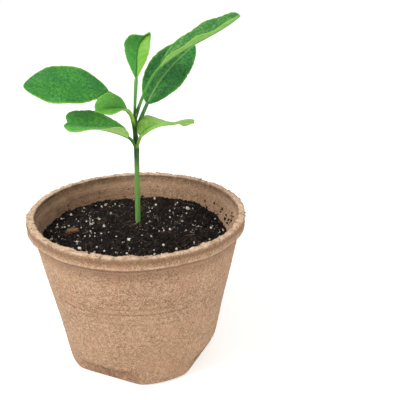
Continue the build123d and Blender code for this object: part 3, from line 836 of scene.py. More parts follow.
class PEATPOT_OT_pot(bpy.types.Operator):
    """Presses the pot from fibre: foot flats, drain holes, a torn lip and stray fibres"""
    bl_idname = "peat_pot.pot"
    bl_label = "Pot"

    # Middle and reach of the ringed band, and the height of its first ring
    RING_BAND, RING_REACH, FIRST_RING = 43 * MM, 11 * MM, 37 * MM
    # Width of the slow waves in the wall, and the height over which bumps fade out at the foot
    WARP_SIZE, FOOT_EDGE = 19 * MM, 1.5 * MM
    # Direction of the inner wall's lit side; the damp stain inside is real, and it is laid on
    # heavier the further the wall turns from here, as painted shade
    LIT_INNER_SIDE = radians(20)

    def execute(self, context):
        pot = settings("pot")
        piece = self.shell(pot)
        self.drill(piece, pot)
        self.roughen(piece, pot)
        pulp = pulp_material(pot)
        finished(piece, pulp, "peat_fibre", "peat_pot", angle=60)
        finished(self.fibres(piece, pot), pulp, "peat_fibre")
        finished(self.tufts(piece, pot), pulp, "peat_fibre")
        return {"FINISHED"}

    def wall_radius(self, pot, height):
        """Outer radius of the plain wall at a height."""
        return pot.base_radius + WALL_SLOPE * height

    def profile(self, pot):
        """Points of the pressed section from the middle of the underside to that of the floor."""
        def round_of(middle, start, end):
            steps = 5
            turns = [start + (end - start) * k / steps for k in range(steps + 1)]
            height = pot.rim - pot.lip_round
            return [(middle + pot.lip_round * cos(turn), height + pot.lip_round * sin(turn), 0)
                    for turn in turns]
        inner_lip = pot.lip_radius - pot.lip_thickness
        inside = -pot.wall
        corners = [
            (0, 0, pot.coarse),
            (pot.base_radius - pot.bevel, 0, pot.grain),
            (self.wall_radius(pot, pot.bevel), pot.bevel, pot.grain),
            (self.wall_radius(pot, pot.shoulder), pot.shoulder, pot.grain * 0.8),
            (pot.lip_radius - 0.5 * MM, pot.lip_foot - 0.7 * MM, pot.grain * 0.6),
            (pot.lip_radius + 0.12 * MM, pot.lip_foot, pot.grain * 0.6),
            (pot.lip_radius - 0.15 * MM, pot.lip_foot + 0.9 * MM, pot.grain * 0.8),
            *round_of(pot.lip_radius - pot.lip_round, 0, pi / 2),
            *round_of(inner_lip + pot.lip_round, pi / 2, pi),
            (inner_lip, pot.ledge_top, pot.grain * 0.8),
            (self.wall_radius(pot, pot.ledge_foot) + inside, pot.ledge_foot, pot.grain),
            (self.wall_radius(pot, pot.seen_inside) + inside, pot.seen_inside, pot.coarse),
            (self.wall_radius(pot, pot.bottom) + inside, pot.bottom, pot.coarse),
            (0, pot.bottom, 0),
        ]
        points = []
        for start, end in zip(corners, corners[1:]):
            run = Vector((end[0] - start[0], end[1] - start[1]))
            steps = max(1, round(run.length / start[2])) if start[2] else 1
            for k in range(steps):
                points.append((start[0] + run.x * k / steps, start[1] + run.y * k / steps))
        return points + [corners[-1][:2]]

    def shell(self, pot):
        """The section spun round the axis, with the flats pressed into its foot."""
        mesh = bpy.data.meshes.new("pot_shell")
        points = self.profile(pot)
        mesh.from_pydata([(radius, 0, height) for radius, height in points],
                         [(k, k + 1) for k in range(len(points) - 1)], [])
        piece = bpy.data.objects.new("pot_shell", mesh)
        bpy.context.scene.collection.objects.link(piece)
        only(piece)
        bpy.ops.object.mode_set(mode="EDIT")
        bpy.ops.mesh.select_all(action="SELECT")
        bpy.ops.mesh.spin(steps=pot.sectors, angle=2 * pi, center=(0, 0, 0), axis=(0, 0, 1))
        bpy.ops.mesh.select_all(action="SELECT")
        bpy.ops.mesh.remove_doubles(threshold=0.01 * MM)
        bpy.ops.mesh.normals_make_consistent(inside=False)
        bpy.ops.object.mode_set(mode="OBJECT")
        limit = pot.flat_height + pot.flat_ledge
        for vert in mesh.vertices:
            if vert.co.z >= limit or vert.co.xy.length < 1e-6:
                continue
            height = vert.co.z
            ledge = max(0.0, (height - pot.flat_height) / pot.flat_ledge) * pot.flat_depth
            plane = pot.flat_distance + WALL_SLOPE * height + ledge
            turn = atan2(vert.co.y, vert.co.x) - pot.flat_angle
            turn = (turn + pi / 4) % (pi / 2) - pi / 4
            radius = self.wall_radius(pot, height)
            reach, blend = plane / cos(turn), pot.flat_blend
            pressed = radius - blend * log(1 + exp((radius - reach) / blend))
            share = pressed / radius
            vert.co.x *= share
            vert.co.y *= share
        return piece

    def drill(self, piece, pot):
        """Two drain holes through the floor, in line with two of the flats."""
        for side in (-1, 1):
            across = side * pot.hole_spacing / 2
            turn = pot.flat_angle
            nothing_selected()
            bpy.ops.mesh.primitive_cylinder_add(
                vertices=48, radius=pot.hole / 2, depth=4 * pot.bottom,
                location=(across * cos(turn), across * sin(turn), pot.bottom / 2))
            cutter = named("cutter")
            modified(piece, "BOOLEAN", operation="DIFFERENCE", solver="EXACT", object=cutter)
            bpy.data.objects.remove(cutter)

    def roughen(self, piece, pot):
        """Pulp bumps all over, mould rings in the wall and a torn lip, with marks for the paint,
        some of which place painted light and shade.
        """
        marks = {key: [] for key in ("lip", "rings", "inside", "ridge", "inner_lip", "flat")}
        normals = [vert.normal.copy() for vert in piece.data.vertices]
        for vert, normal in zip(piece.data.vertices, normals):
            place, height, across = vert.co.copy(), vert.co.z, vert.co.xy.length
            outward = normal.x * place.x + normal.y * place.y
            inner = outward < -0.3 * across and height > pot.bottom
            ring = self.ring(pot, place, inner)
            vert.co = place + normal * self.lift(pot, place, ring)
            # How far a point of the lip's top faces up, which places the painted light on the lip
            crest = clamp((normal.z - 0.5) / 0.4) if height > pot.ledge_top else 0.0
            pressed = clamp((self.wall_radius(pot, height) - across) / (3 * MM))
            # The lip's inner face, which gets painted shade, and the ledge under it, which gets
            # painted light
            inner_lip_shading = clamp((height - pot.ledge_top) / MM) * (1 - crest)
            under_rim = clamp((pot.rim - 0.9 * MM - height) / (1.6 * MM))
            # Painted shade: the stain inside and the inner lip's shade grow away from the lit side
            damp = 0.55 - 0.45 * cos(atan2(place.y, place.x) - self.LIT_INNER_SIDE)
            ledge_light = bell(height - pot.ledge_top + 1.4 * MM, 0.9 * MM)
            marks["lip"].append(crest)
            marks["rings"].append(ring)
            marks["flat"].append(0.0 if inner or height > pot.shoulder else pressed)
            marks["ridge"].append(0.0 if inner else self.ridge(pot, height) * (1 - crest))
            marks["inside"].append(under_rim * damp if inner else 0.0)
            marks["inner_lip"].append(inner_lip_shading * (0.5 + 0.5 * damp) - ledge_light if inner else 0.0)
        for key, values in marks.items():
            marked(piece, key, values)

    def ring(self, pot, place, inner):
        """Depth share of the mould's rings, which show in spells and clearest in front."""
        if inner:
            return 0.0
        spell = clamp(noise.noise(place / self.WARP_SIZE) * 2.2 + 0.5)
        front = 0.5 + 0.5 * cos(atan2(place.y, place.x) + pi / 2)
        spell = max(spell, front ** 12)
        band = max(0.0, 1 - abs(place.z - self.RING_BAND) / self.RING_REACH) * spell
        turn = 2 * pi * (place.z - self.FIRST_RING) / pot.ring_pitch
        return (0.5 + 0.5 * cos(turn)) ** 6 * band

    def lift(self, pot, place, ring):
        """How far a point of the pot is moved along its normal."""
        height = place.z
        lip = clamp((height - pot.ledge_foot) / (2.5 * MM))
        top = clamp((height - pot.rim + 2 * MM) / (1.5 * MM))
        bump = noise.noise(place / (2.3 * MM)) * 0.7 + noise.noise(place / (1.15 * MM)) * 0.6
        torn = noise.noise(place / (2.0 * MM) + Vector((9, 2, 5)))
        torn = torn + 0.6 * noise.noise(place / (0.95 * MM))
        lift = pot.pulp_relief * bump * (1 - 0.4 * top) - pot.ring_depth * ring
        lift += pot.lip_relief * torn * (0.25 * lip + 0.55 * top)
        lift += pot.warp * noise.noise(place / self.WARP_SIZE) * min(1.0, height / (9 * MM))
        if height < self.FOOT_EDGE:
            lift = min(lift, 0.0) * height / self.FOOT_EDGE
        return lift

    def ridge(self, pot, height):
        """Painted highlight on the ridge under the lip, and painted shade over and under it."""
        rise = (height - pot.lip_foot) / MM
        bulge = bell(rise - 0.2, 0.45) - bell(rise + 1.1, 0.7)
        return bulge - (0.6 * bell(rise + 4, 3.5) + 1.1 * bell(rise - 3.2, 1.4))

    def fibres(self, piece, pot):
        """Short loose fibres that stand off the lip and the wall."""
        draw = Random(SEEDS["lip_fibres"])
        strands = []
        verts = [v for v in piece.data.vertices if v.co.z > pot.lip_foot]
        walls = [v for v in piece.data.vertices
                 if 6 * MM < v.co.z < pot.lip_foot and v.normal.xy.dot(v.co.xy) > 0]
        for k in range(pot.fibre_count):
            root = draw.choice(verts if k % 3 else walls)
            reach = draw.uniform(0.5, 1.9) * MM if k % 3 else draw.uniform(0.4, 1.1) * MM
            out = root.normal.copy()
            side = Vector([draw.uniform(-1, 1) for _ in range(3)])
            side = (side - out * side.dot(out)).normalized()
            lift = draw.uniform(0.1, 0.5)
            points = [root.co - out * 0.2 * MM,
                      root.co + out * lift * reach + side * reach * 0.4,
                      root.co + out * lift * reach * 0.8 + side * reach]
            thick = draw.uniform(0.05, 0.11) * MM
            strands.append((points, (thick, thick, thick / 3)))
        return tubes(strands, "lip_fibres")

    def tufts(self, piece, pot):
        """Small flakes and tufts of pulp that stand up from the rim."""
        draw = Random(SEEDS["tufts"])
        shapes = lumps(5, 5, 0.9)
        lowest = pot.rim - 2.2 * MM
        verts = [v for v in piece.data.vertices
                 if v.co.z > lowest and v.normal.xy.dot(v.co.xy) > -0.2 * v.co.xy.length]
        pieces = []
        for _ in range(pot.tuft_count):
            root = draw.choice(verts)
            size = (0.4 + 0.9 * draw.random() ** 2) * MM
            pieces.append(laid(shapes, draw, root.co, [size * 1.3, size, size * 0.5]))
        return joined(pieces, "lip_tufts", shapes)


# Mix

def below(tree, x, y):
    """Point of a surface straight under a place, or none beside it."""
    return tree.ray_cast(Vector((x, y, OVERHEAD)), Vector((0, 0, -1)))[0]


def mix_top(x, y):
    """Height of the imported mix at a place, from its own mesh."""
    point = below(MIX_SURFACE, x, y)
    return None if point is None else point.z


class PEATPOT_OT_mix(bpy.types.Operator):
    """Fills the pot with crumbly mix and lays crumbs, perlite, bark and fibres on it"""
    bl_idname = "peat_pot.mix"
    bl_label = "Potting mix"

    # Levels between which the wall that the mix meets is taken as straight
    WALL_LEVELS = 50 * MM, 62 * MM
    # The bits stuck to the wall begin at this level and reach this much higher
    SMEAR_LEVEL, SMEAR_REACH = 60.5, 6.5
    # Most bits cling about this turn, in degrees, within this spread
    SMEAR_TURN, SMEAR_SPREAD = 8, 22

    def execute(self, context):
        soil = settings("mix")
        ground = self.ground(soil)
        peat = mix_material(soil)
        finished(ground, peat, "potting_mix", "potting_mix", angle=180)
        self.ground_surface = surface(ground)
        finished(self.crumbs(soil), peat, "potting_mix", "mix_crumbs", angle=30)
        finished(self.grains(soil), perlite_material(soil), "perlite", "perlite_grains", angle=35)
        finished(self.chip(), bark_material(soil), "bark", "bark_chip")
        finished(self.fibres(soil), fibre_material(soil), "potting_mix")
        return {"FINISHED"}

    def ground(self, soil):
        """The mix as one closed piece: a crumbly top over plain sides and bottom."""
        low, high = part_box("potting_mix")
        middle = (low + high) / 2
        edge = high.x - middle.x
        nothing_selected()
        bpy.ops.mesh.primitive_circle_add(vertices=soil.sectors, radius=edge, fill_type="NOTHING",
                                          location=(0, 0, high.z))
        piece = settle(named("mix_ground"))
        bpy.ops.object.mode_set(mode="EDIT")
        bpy.ops.mesh.select_all(action="SELECT")
        radius = edge
        for k in range(1, soil.rings):
            smaller = edge * (1 - k / soil.rings)
            bpy.ops.mesh.extrude_region_move()
            bpy.ops.transform.resize(value=(smaller / radius, smaller / radius, 1),
                                     center_override=(0, 0, high.z))
            radius = smaller
        bpy.ops.mesh.edge_face_add()
        bpy.ops.object.mode_set(mode="OBJECT")
        shape = piece.data
        floor = low.z
        for vert in shape.vertices:
            x, y = vert.co.xy
            top = mix_top(x * 0.985, y * 0.985)
            vert.co.z = high.z if top is None else top
        self.crumble(piece, soil, edge)
        self.fit_wall(piece, edge)
        only(piece)
        bpy.ops.object.mode_set(mode="EDIT")
        bpy.ops.mesh.select_all(action="DESELECT")
        bpy.ops.mesh.select_non_manifold()
        bpy.ops.mesh.extrude_region_move()
        bpy.ops.object.mode_set(mode="OBJECT")
        foot = wall_radius_inside(floor + 6 * MM) - 1.4 * MM
        for vert in shape.vertices:
            if vert.select:
                vert.co.xy = vert.co.xy.normalized() * foot * 0.9
                vert.co.z = floor + 0.3 * MM
        bpy.ops.object.mode_set(mode="EDIT")
        bpy.ops.mesh.edge_face_add()
        bpy.ops.mesh.select_all(action="SELECT")
        bpy.ops.mesh.normals_make_consistent(inside=False)
        bpy.ops.object.mode_set(mode="OBJECT")
        return piece

    def crumble(self, piece, soil, edge):
        """Clods and crumbs as real relief, with a small hollow round the stem's foot."""
        foot = stem_foot()
        raised = []
        for vert in piece.data.vertices:
            place = vert.co.copy()
            flat = Vector((place.x, place.y, 0))
            clod = noise.noise(flat / soil.clod_size)
            first, second = noise.voronoi(flat / soil.crumb_size)[0][:2]
            crumb = min(1.0, (second - first) * 1.8) - 0.5
            small = noise.noise(flat / (0.95 * MM)) + 0.6 * noise.noise(flat / (0.5 * MM))
            away = (flat.xy - foot.xy).length
            hollow = bell(away, 2.6 * MM) * 1.6 * MM
            vert.co.z += clod * soil.clod_height * 0.6 + crumb * soil.crumb_height * 0.7
            vert.co.z += small * 0.28 * MM - hollow - 0.1 * MM
            # How raised each point is, for the painted shade in the low places and the hollow round
            # the stem
            raised.append(0.55 + crumb * 0.55 + small * 0.35 + clod * 0.3 - hollow / MM * 0.3)
        marked(piece, "raised", raised)

    def fit_wall(self, piece, edge):
        """Draws the mix's outer rings in to the leaning wall at their height."""
        low, high = self.WALL_LEVELS
        bottom, top = wall_radius_inside(low), wall_radius_inside(high)
        for vert in piece.data.vertices:
            wall = bottom + (top - bottom) * (vert.co.z - low) / (high - low) + 0.25 * MM
            share = wall / edge
            vert.co.x *= share
            vert.co.y *= share

    def drop(self, x, y):
        """Point of the crumbled mix at a place, or none beside it."""
        return below(self.ground_surface, x, y)

    def scattered(self, draw, edge):
        """A random place on the mix."""
        reach, turn = edge * sqrt(draw.random()), draw.uniform(0, 2 * pi)
        return reach * cos(turn), reach * sin(turn)

    def crumbs(self, soil):
        """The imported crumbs, many smaller ones, and bits stuck to the wall."""
        draw = Random(SEEDS["crumbs"])
        shapes = lumps(6, 1, 1.1)
        edge = wall_radius_inside(MIX_LEVEL) - 1.2 * MM
        pieces = []
        for middle, size in loose_parts("mix_crumbs"):
            point = self.drop(middle.x, middle.y)
            spot = point if point else middle
            pieces.append(laid(shapes, draw, spot, [max(size) * 0.8] * 3))
        for _ in range(soil.crumb_count):
            point = self.drop(*self.scattered(draw, edge))
            if point:
                size = (0.6 + 1.5 * draw.random() ** 2) * MM
                pieces.append(laid(shapes, draw, point, [size] * 3))
        for _ in range(soil.smear_count):
            if draw.random() < 0.6:
                turn = draw.gauss(self.SMEAR_TURN, self.SMEAR_SPREAD)
            else:
                turn = draw.uniform(0, 360)
            way = Vector((cos(radians(turn)), sin(radians(turn)), 0))
            high = draw.random() ** 2
            level = (self.SMEAR_LEVEL + self.SMEAR_REACH * high) * MM
            point = POT_SURFACE.ray_cast(Vector((0, 0, level)), way)[0]
            if point and level > mix_top(point.x * 0.95, point.y * 0.95):
                size = draw.uniform(0.5, 1.5) * (1 - 0.5 * high) * MM
                pieces.append(laid(shapes, draw, point - way * size * 0.1, [size] * 3))
        made = joined(pieces, "crumbs", shapes)
        marked(made, "raised", [0.7] * len(made.data.vertices))
        return made

    def grains(self, soil):
        """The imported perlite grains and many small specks."""
        draw = Random(SEEDS["grains"])
        big, small = lumps(4, 2, 0.7, 3), lumps(4, 3, 0.6, 2)
        edge = wall_radius_inside(MIX_LEVEL) - 1.5 * MM
        pieces = []
        for k, (middle, size) in enumerate(loose_parts("perlite_grains")):
            point = self.drop(middle.x, middle.y)
            wide = max(size) * (0.85 if k % 4 == 0 else 0.55)
            spot = (point if point else middle) + Vector((0, 0, 0.3 * wide))
            pieces.append(laid(big, draw, spot, [wide, wide * 0.8, wide * 0.7]))
        for _ in range(soil.speck_count):
            point = self.drop(*self.scattered(draw, edge))
            if point and noise.noise(Vector((point.x, point.y, 3)) / (14 * MM)) > -0.12:
                size = (0.22 + 0.85 * draw.random() ** 4) * MM
                spot = point + Vector((0, 0, size * 0.3))
                pieces.append(laid(small, draw, spot, [size] * 3))
        return joined(pieces, "perlite", big + small)

    def chip(self):
        """The bark chip, with a split and frayed surface."""
        piece = node_copy("bark_chip", "bark_splinter")
        modified(piece, "REMESH", mode="VOXEL", voxel_size=0.16 * MM, adaptivity=0)
        modified(piece, "SMOOTH", factor=0.5, iterations=3)
        for vert in piece.data.vertices:
            place = Vector((vert.co.x * 0.35, vert.co.y, vert.co.z)) / (0.5 * MM)
            vert.co += vert.normal * noise.noise(place) * 0.22 * MM
            vert.co += vert.normal * noise.noise(vert.co / (1.7 * MM)) * 0.7 * MM
            vert.co.z += 0.35 * MM
        return piece

    def fibres(self, soil):
        """Thin peat fibres that lie loose on the mix."""
        draw = Random(SEEDS["peat_fibres"])
        edge = wall_radius_inside(MIX_LEVEL) - 2.5 * MM
        strands = []
        for _ in range(soil.fibre_count):
            x, y = self.scattered(draw, edge)
            turn, reach = draw.uniform(0, 2 * pi), draw.uniform(1.5, 4.5) * MM
            points = []
            for k in range(4):
                point = self.drop(x + k / 3 * reach * cos(turn), y + k / 3 * reach * sin(turn))
                if point is None or point.xy.length > edge:
                    break
                points.append(point + Vector((0, 0, draw.uniform(0.05, 0.6) * MM)))
                turn += draw.uniform(-0.5, 0.5)
            if len(points) > 2:
                thick = draw.uniform(0.05, 0.13) * MM
                strands.append((points, [thick] * len(points)))
        return tubes(strands, "peat_fibres")


# Seedling

def stem_foot():
    """Point where the stem leaves the mix."""
    plant = settings("plant")
    return Vector((plant.stem_right, plant.stem_back, plant.soil_level))


def stem_middle(share):
    """Point in the middle of the stem at a share of its rise."""
    rise = settings("plant").stem_rise
    for low, high in zip(STEM_SHARES, STEM_SHARES[1:]):
        if share <= high[0]:
            break
    part = (share - low[0]) / (high[0] - low[0])
    return stem_foot() + Vector((low[1] + (high[1] - low[1]) * part, 0, share)) * rise


def smooth(values, t):
    """Value at t of the smooth run through foot, middle and tip values."""
    foot, middle, tip = values
    return foot * (1 - t) * (1 - 2 * t) + 4 * middle * t * (1 - t) + tip * t * (2 * t - 1)


def heading(turn, rise):
    """Unit vector from a heading and a rise in degrees."""
    turn, rise = radians(turn), radians(rise)
    return Vector((cos(turn) * cos(rise), sin(turn) * cos(rise), sin(rise)))


class PEATPOT_OT_stem(bpy.types.Operator):
    """Grows the stem with its nodes, the bud and the roots"""
    bl_idname = "peat_pot.stem"
    bl_label = "Stem and roots"

    # Heights over the mix between which the stem turns dark, as painted shade under the leaves at
    # the fork
    SHADE_HEIGHTS = 27 * MM, 37 * MM

    def execute(self, context):
        plant = settings("plant")
        points = [stem_middle(share) for share, _, _ in STEM_SHARES]
        radii = [thick * plant.stem_diameter / 2 for _, _, thick in STEM_SHARES]
        piece = tubes([(points, radii)], "stem_bark", sides=20, smooth=True)
        roughened(piece, 1.6 * MM, 0.12 * MM)
        bottom, top = [plant.soil_level + height for height in self.SHADE_HEIGHTS]
        bark = stalk_material("Stem bark", plant.stem_low, plant.stem_shaded, bottom, top)
        finished(piece, bark, "green_stem", "stem", angle=60)
        self.bud(plant)
        root = root_material(plant)
        for node in ("taproot", "lateral_roots"):
            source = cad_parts[node]
            source.data.materials.clear()
            source.data.materials.append(root)
        return {"FINISHED"}

    def bud(self, plant):
        """Pointed bud between two bud scales."""
        low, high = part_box("terminal_bud")
        piece = node_copy("terminal_bud", "bud_scales")
        modified(piece, "REMESH", mode="VOXEL", voxel_size=0.09 * MM, adaptivity=0)
        modified(piece, "SMOOTH", factor=0.5, iterations=4)
        green = stalk_material("Bud", TONES["bud_foot"], TONES["bud_tip"], low.z, high.z)
        finished(piece, green, "young_leaf", "terminal_bud")


class PEATPOT_OT_leaves(bpy.types.Operator):
    """Grows each leaf: its petiole and its veined, crenate blade"""
    bl_idname = "peat_pot.leaves"
    bl_label = "Leaves"

    # Steps of a blade's grid, and of a petiole
    ALONG, ACROSS, PETIOLE_STEPS = 96, 40, 12
    # Between side veins, and how far these slant forwards
    VEIN_SPACING, VEIN_SLANT = 3.4 * MM, 0.16
    # Length of one slow wave of the margin
    WAVE_LENGTH = 15 * MM
    # Leaves whose slot is named for new growth
    YOUNG = ("lower_left", "lower_right", "top")

    def execute(self, context):
        plant = settings("plant")
        for leaf in settings("leaves"):
            self.petiole(plant, leaf)
            self.blade(plant, leaf)
        return {"FINISHED"}

    def petiole(self, plant, leaf):
        """Leaf stalk that clasps the stem and curves to the foot of its blade."""
        start = stem_middle(leaf.leave)
        end = stem_foot() + Vector(leaf.foot) * plant.stem_rise
        way = heading(leaf.heading[0], leaf.rise[0])
        knee = end - way * ((end - start).length * leaf.bend)
        points, radii = [], []
        for k in range(self.PETIOLE_STEPS + 1):
            t = k / self.PETIOLE_STEPS
            points.append(start * (1 - t) ** 2 + knee * (2 * t * (1 - t)) + end * t ** 2)
            share = leaf.swell[0] + (leaf.swell[1] - leaf.swell[0]) * t
            clasp = 1 + 0.3 * bell(t, 0.12)
            radii.append(plant.petiole_diameter / 2 * share * clasp)
        points.append(end + way * 1.2 * MM)
        radii.append(radii[-1] * 0.6)
        piece = tubes([(points, radii)], "petiole_skin_" + leaf.name, sides=14, smooth=True)
        # Painted shade on the petiole's foot near the fork
        bottom, top = [plant.soil_level + share * plant.stem_rise for share in leaf.shaded_foot]
        skin = stalk_material("Petiole " + leaf.name, plant.stem_shaded, leaf.stalk, bottom, top)
        finished(piece, skin, "green_stem", "petiole_" + leaf.name, angle=60)

    def path(self, plant, leaf, stations):
        """Points down the midrib at the stations."""
        reach = leaf.reach * plant.leaf_length
        point = stem_foot() + Vector(leaf.foot) * plant.stem_rise
        found = [point]
        for start, end in zip(stations, stations[1:]):
            t = (start + end) / 2
            way = heading(smooth(leaf.heading, t), smooth(leaf.rise, t))
            point = point + way * (reach * (end - start))
            found.append(point)
        return found

    def blade(self, plant, leaf):
        """A grid bent along the midrib and folded, then given its thickness, keel and margin."""
        along = self.ALONG
        nothing_selected()
        bpy.ops.mesh.primitive_grid_add(x_subdivisions=along, y_subdivisions=self.ACROSS, size=2,
                                        calc_uvs=True)
        piece = named("blade_" + leaf.name)
        stations = [(1 - cos(pi * (0.06 + 0.88 * k / along))) / 2 for k in range(along + 1)]
        first, last = stations[0], stations[-1]
        stations = [(t - first) / (last - first) for t in stations]
        path = self.path(plant, leaf, stations)
        reach = leaf.reach * plant.leaf_length
        width = leaf.width * reach
        marks = {key: [] for key in ("vein", "rib", "margin", "fresh", "base")}
        draw = Random(leaf.name)
        phase = draw.uniform(0, 2 * pi)
        for vert in piece.data.vertices:
            k = round((vert.co.x + 1) / 2 * along)
            side, f = (1 if vert.co.y >= 0 else -1), abs(vert.co.y)
            t, point = stations[k], path[k]
            turn, roll = radians(smooth(leaf.heading, t)), radians(smooth(leaf.roll, t))
            fold = radians(smooth(leaf.fold, t))
            way = heading(smooth(leaf.heading, t), smooth(leaf.rise, t))
            level = Vector((sin(turn), -cos(turn), 0))
            square = level.cross(way)
            right = level * cos(roll) + square * sin(roll)
            up = square * cos(roll) - level * sin(roll)
            swell = max(sin(pi * t ** leaf.outline[0]), 0) ** leaf.outline[1]
            drawn = leaf.pinch[3 if side > 0 else 2] * bell(t - leaf.pinch[0], leaf.pinch[1])
            half = width / 2 * swell * (1 - drawn)
            half = max(half, plant.tip_width / 2)
            place = t * reach / plant.scallop
            uneven = noise.noise(Vector((place * 0.8, side * 3.1, phase)))
            scallops = abs(sin(pi * (place + uneven * 0.8) + side))
            half += (scallops - 0.6) * plant.crenation * (0.6 + uneven) * f ** 4 * swell
            slant = t - self.VEIN_SLANT * f * width / reach * 2
            waves = cos(2 * pi * slant * reach / self.VEIN_SPACING + side)
            lift = plant.camber * half * 4 * f * (1 - f)
            sway = sin(2 * pi * t * reach / self.WAVE_LENGTH + phase + side)
            lift += plant.wave * swell * f ** 2 * sway
            lift += plant.pucker * swell * waves * 4 * f * (1 - f)
            out = right * side * cos(fold) + up * sin(fold)
            over = up * cos(fold) - right * side * sin(fold)
            back = way * (-leaf.notch * reach * bell(f * half, 0.1 * width) * t ** 14)
            vert.co = point + out * (f * half) + over * lift + back
            marks["vein"].append(max(0.0, (-waves - 0.72) / 0.28) * (1 - f ** 3) * swell)
            marks["rib"].append(bell(f * half, plant.midrib * 0.32))
            marks["margin"].append(max(0.0, 1 - (1 - f) * half / (0.6 * MM)))
            # Painted light on the half that faces the light, away from the midrib
            marks["fresh"].append(leaf.fresh[side > 0] * min(1.0, f * half / (0.5 * MM)))
            marks["base"].append(1 - t)
        for key, values in marks.items():
            marked(piece, key, values)
        marked(piece, "underside", [0.0] * len(piece.data.vertices))
        self.thicken(piece, plant)
        slot = "young_leaf" if leaf.name in self.YOUNG else "leaf"
        skin = blade_material("Leaf " + leaf.name, leaf)
        finished(piece, skin, slot, "leaf_" + leaf.name, angle=70)

    def thicken(self, piece, plant):
        """A lower skin under the grid, with the keel standing out along the midrib."""
        count = len(piece.data.vertices)
        only(piece)
        bpy.ops.object.mode_set(mode="EDIT")
        bpy.ops.mesh.select_all(action="SELECT")
        bpy.ops.mesh.flip_normals()
        bpy.ops.object.mode_set(mode="OBJECT")
        modified(piece, "SOLIDIFY", thickness=plant.blade_thickness, offset=-1, use_rim=True,
                 use_quality_normals=True)
        shape = piece.data
        under, ribs = shape.attributes["underside"].data, shape.attributes["rib"].data
        for index in range(count, len(shape.vertices)):
            vert = shape.vertices[index]
            under[index].value = 1.0
            upper = shape.vertices[index - count]
            down = (vert.co - upper.co).normalized()
            vert.co += down * (ribs[index].value * plant.midrib * 0.45)


# Stage

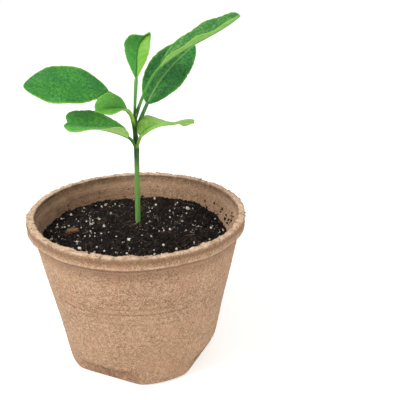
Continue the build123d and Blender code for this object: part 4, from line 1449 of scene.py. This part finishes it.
class PEATPOT_OT_stage(bpy.types.Operator):
    """Sets the pale floor, the soft lamps, the even sky and the camera"""
    bl_idname = "peat_pot.stage"
    bl_label = "Stage"

    # Places and widths of the lamps, and the point they are aimed at
    KEY_PLACE, KEY_SIZE = (-0.68, -0.3, 0.68), 0.45
    FILL_PLACE, FILL_SIZE = (0.6, -0.6, 0.35), 0.7
    POT_MIDDLE = (0, 0, 0.07)
    FLOOR_SIZE = 8

    def execute(self, context):
        stage = settings("stage")
        self.floor(stage)
        self.sky(stage)
        self.lamp("Key lamp", self.KEY_PLACE, self.KEY_SIZE, stage.key_power)
        self.lamp("Fill lamp", self.FILL_PLACE, self.FILL_SIZE, stage.fill_power)
        self.camera(stage)
        context.scene.view_settings.view_transform = "Standard"
        return {"FINISHED"}

    def floor(self, stage):
        """Wide pale floor that the camera sees nearly white and that still takes a shadow."""
        nothing_selected()
        bpy.ops.mesh.primitive_plane_add(size=self.FLOOR_SIZE, location=(0, 0, 0))
        piece = named("floor")
        mix = Recipe("Floor")
        seen = mix.node("ShaderNodeLightPath").outputs["Is Camera Ray"]
        mix.feed(mix.shader, Emission_Color=(1, 1, 1, 1), Emission_Strength=mix.times(seen, 0.5))
        piece.data.materials.append(mix.done((*stage.floor, 1), 0.9, specular=0.1))

    def sky(self, stage):
        """Even light from all round, white where the camera looks straight at it."""
        world = bpy.data.worlds.new("Studio")
        bpy.context.scene.world = world
        world.use_nodes = True
        nodes, links = world.node_tree.nodes, world.node_tree.links
        back = nodes["Background"]
        back.inputs["Color"].default_value = (1, 1, 1, 1)
        path = nodes.new("ShaderNodeLightPath")
        seen = path.outputs["Is Camera Ray"]
        for ray in ("Is Glossy Ray", "Is Transmission Ray"):
            either = nodes.new("ShaderNodeMath")
            either.operation = "MAXIMUM"
            links.new(seen, either.inputs[0])
            links.new(path.outputs[ray], either.inputs[1])
            seen = either.outputs[0]
        choose = nodes.new("ShaderNodeMix")
        choose.inputs[2].default_value, choose.inputs[3].default_value = stage.sky, 1.0
        links.new(seen, choose.inputs[0])
        links.new(choose.outputs[0], back.inputs["Strength"])

    def lamp(self, name, place, size, power):
        """Soft square lamp aimed at the pot."""
        bpy.ops.object.light_add(type="AREA", location=place)
        lamp = bpy.context.object
        lamp.name = name
        lamp.data.size = size
        lamp.data.energy = power
        aim = Vector(self.POT_MIDDLE) - Vector(place)
        lamp.rotation_euler = aim.to_track_quat("-Z", "Y").to_euler()

    def camera(self, stage):
        """Camera a little above the lip, aimed at the fork of the seedling."""
        bpy.ops.object.camera_add(location=stage.eye)
        camera = bpy.context.object
        camera.name = "Camera"
        aim = Vector(stage.aim) - Vector(stage.eye)
        camera.rotation_euler = aim.to_track_quat("-Z", "Y").to_euler()
        camera.data.lens = stage.lens
        camera.data.sensor_width = 36
        camera.data.clip_start = 0.01
        bpy.context.scene.camera = camera


class PEATPOT_PT_panel(bpy.types.Panel):
    """Buttons for each group of pieces"""
    bl_idname = "PEATPOT_PT_panel"
    bl_label = "Peat Pot"
    bl_space_type = "VIEW_3D"
    bl_region_type = "UI"
    bl_category = "Peat Pot"

    def draw(self, context):
        for operator in OPERATORS:
            self.layout.operator(operator.bl_idname)


SETTINGS = {
    "pot": PotSettings, "mix": MixSettings, "plant": PlantSettings, "stage": StageSettings,
}
OPERATORS = (
    PEATPOT_OT_stage, PEATPOT_OT_pot, PEATPOT_OT_mix, PEATPOT_OT_stem, PEATPOT_OT_leaves,
)


def register():
    """Makes the settings, operators and panel known."""
    for made in (*SETTINGS.values(), BladeSettings, *OPERATORS, PEATPOT_PT_panel):
        bpy.utils.register_class(made)
    for name, group in SETTINGS.items():
        setattr(bpy.types.Scene, "peat_pot_" + name, PointerProperty(type=group))
    bpy.types.Scene.peat_pot_leaves = CollectionProperty(type=BladeSettings)


def unregister():
    """Takes them away again."""
    for name in (*SETTINGS, "leaves"):
        delattr(bpy.types.Scene, "peat_pot_" + name)
    for made in (PEATPOT_PT_panel, *OPERATORS, BladeSettings, *SETTINGS.values()):
        bpy.utils.unregister_class(made)


def fill_leaves():
    """Puts each leaf's values into its settings."""
    tones = ("upper", "young", "deep", "under", "stalk", "rib")
    leaves = bpy.context.scene.peat_pot_leaves
    leaves.clear()
    for name, values in LEAVES.items():
        leaf = leaves.add()
        leaf.name = name
        for key, value in values.items():
            setattr(leaf, key, paint(*value) if key in tones else value)


def main():
    """Builds the pieces in order."""
    register()
    fill_leaves()
    bpy.ops.peat_pot.stage()
    bpy.ops.peat_pot.pot()
    bpy.ops.peat_pot.mix()
    bpy.ops.peat_pot.stem()
    bpy.ops.peat_pot.leaves()


if __name__ == "__main__":
    main()
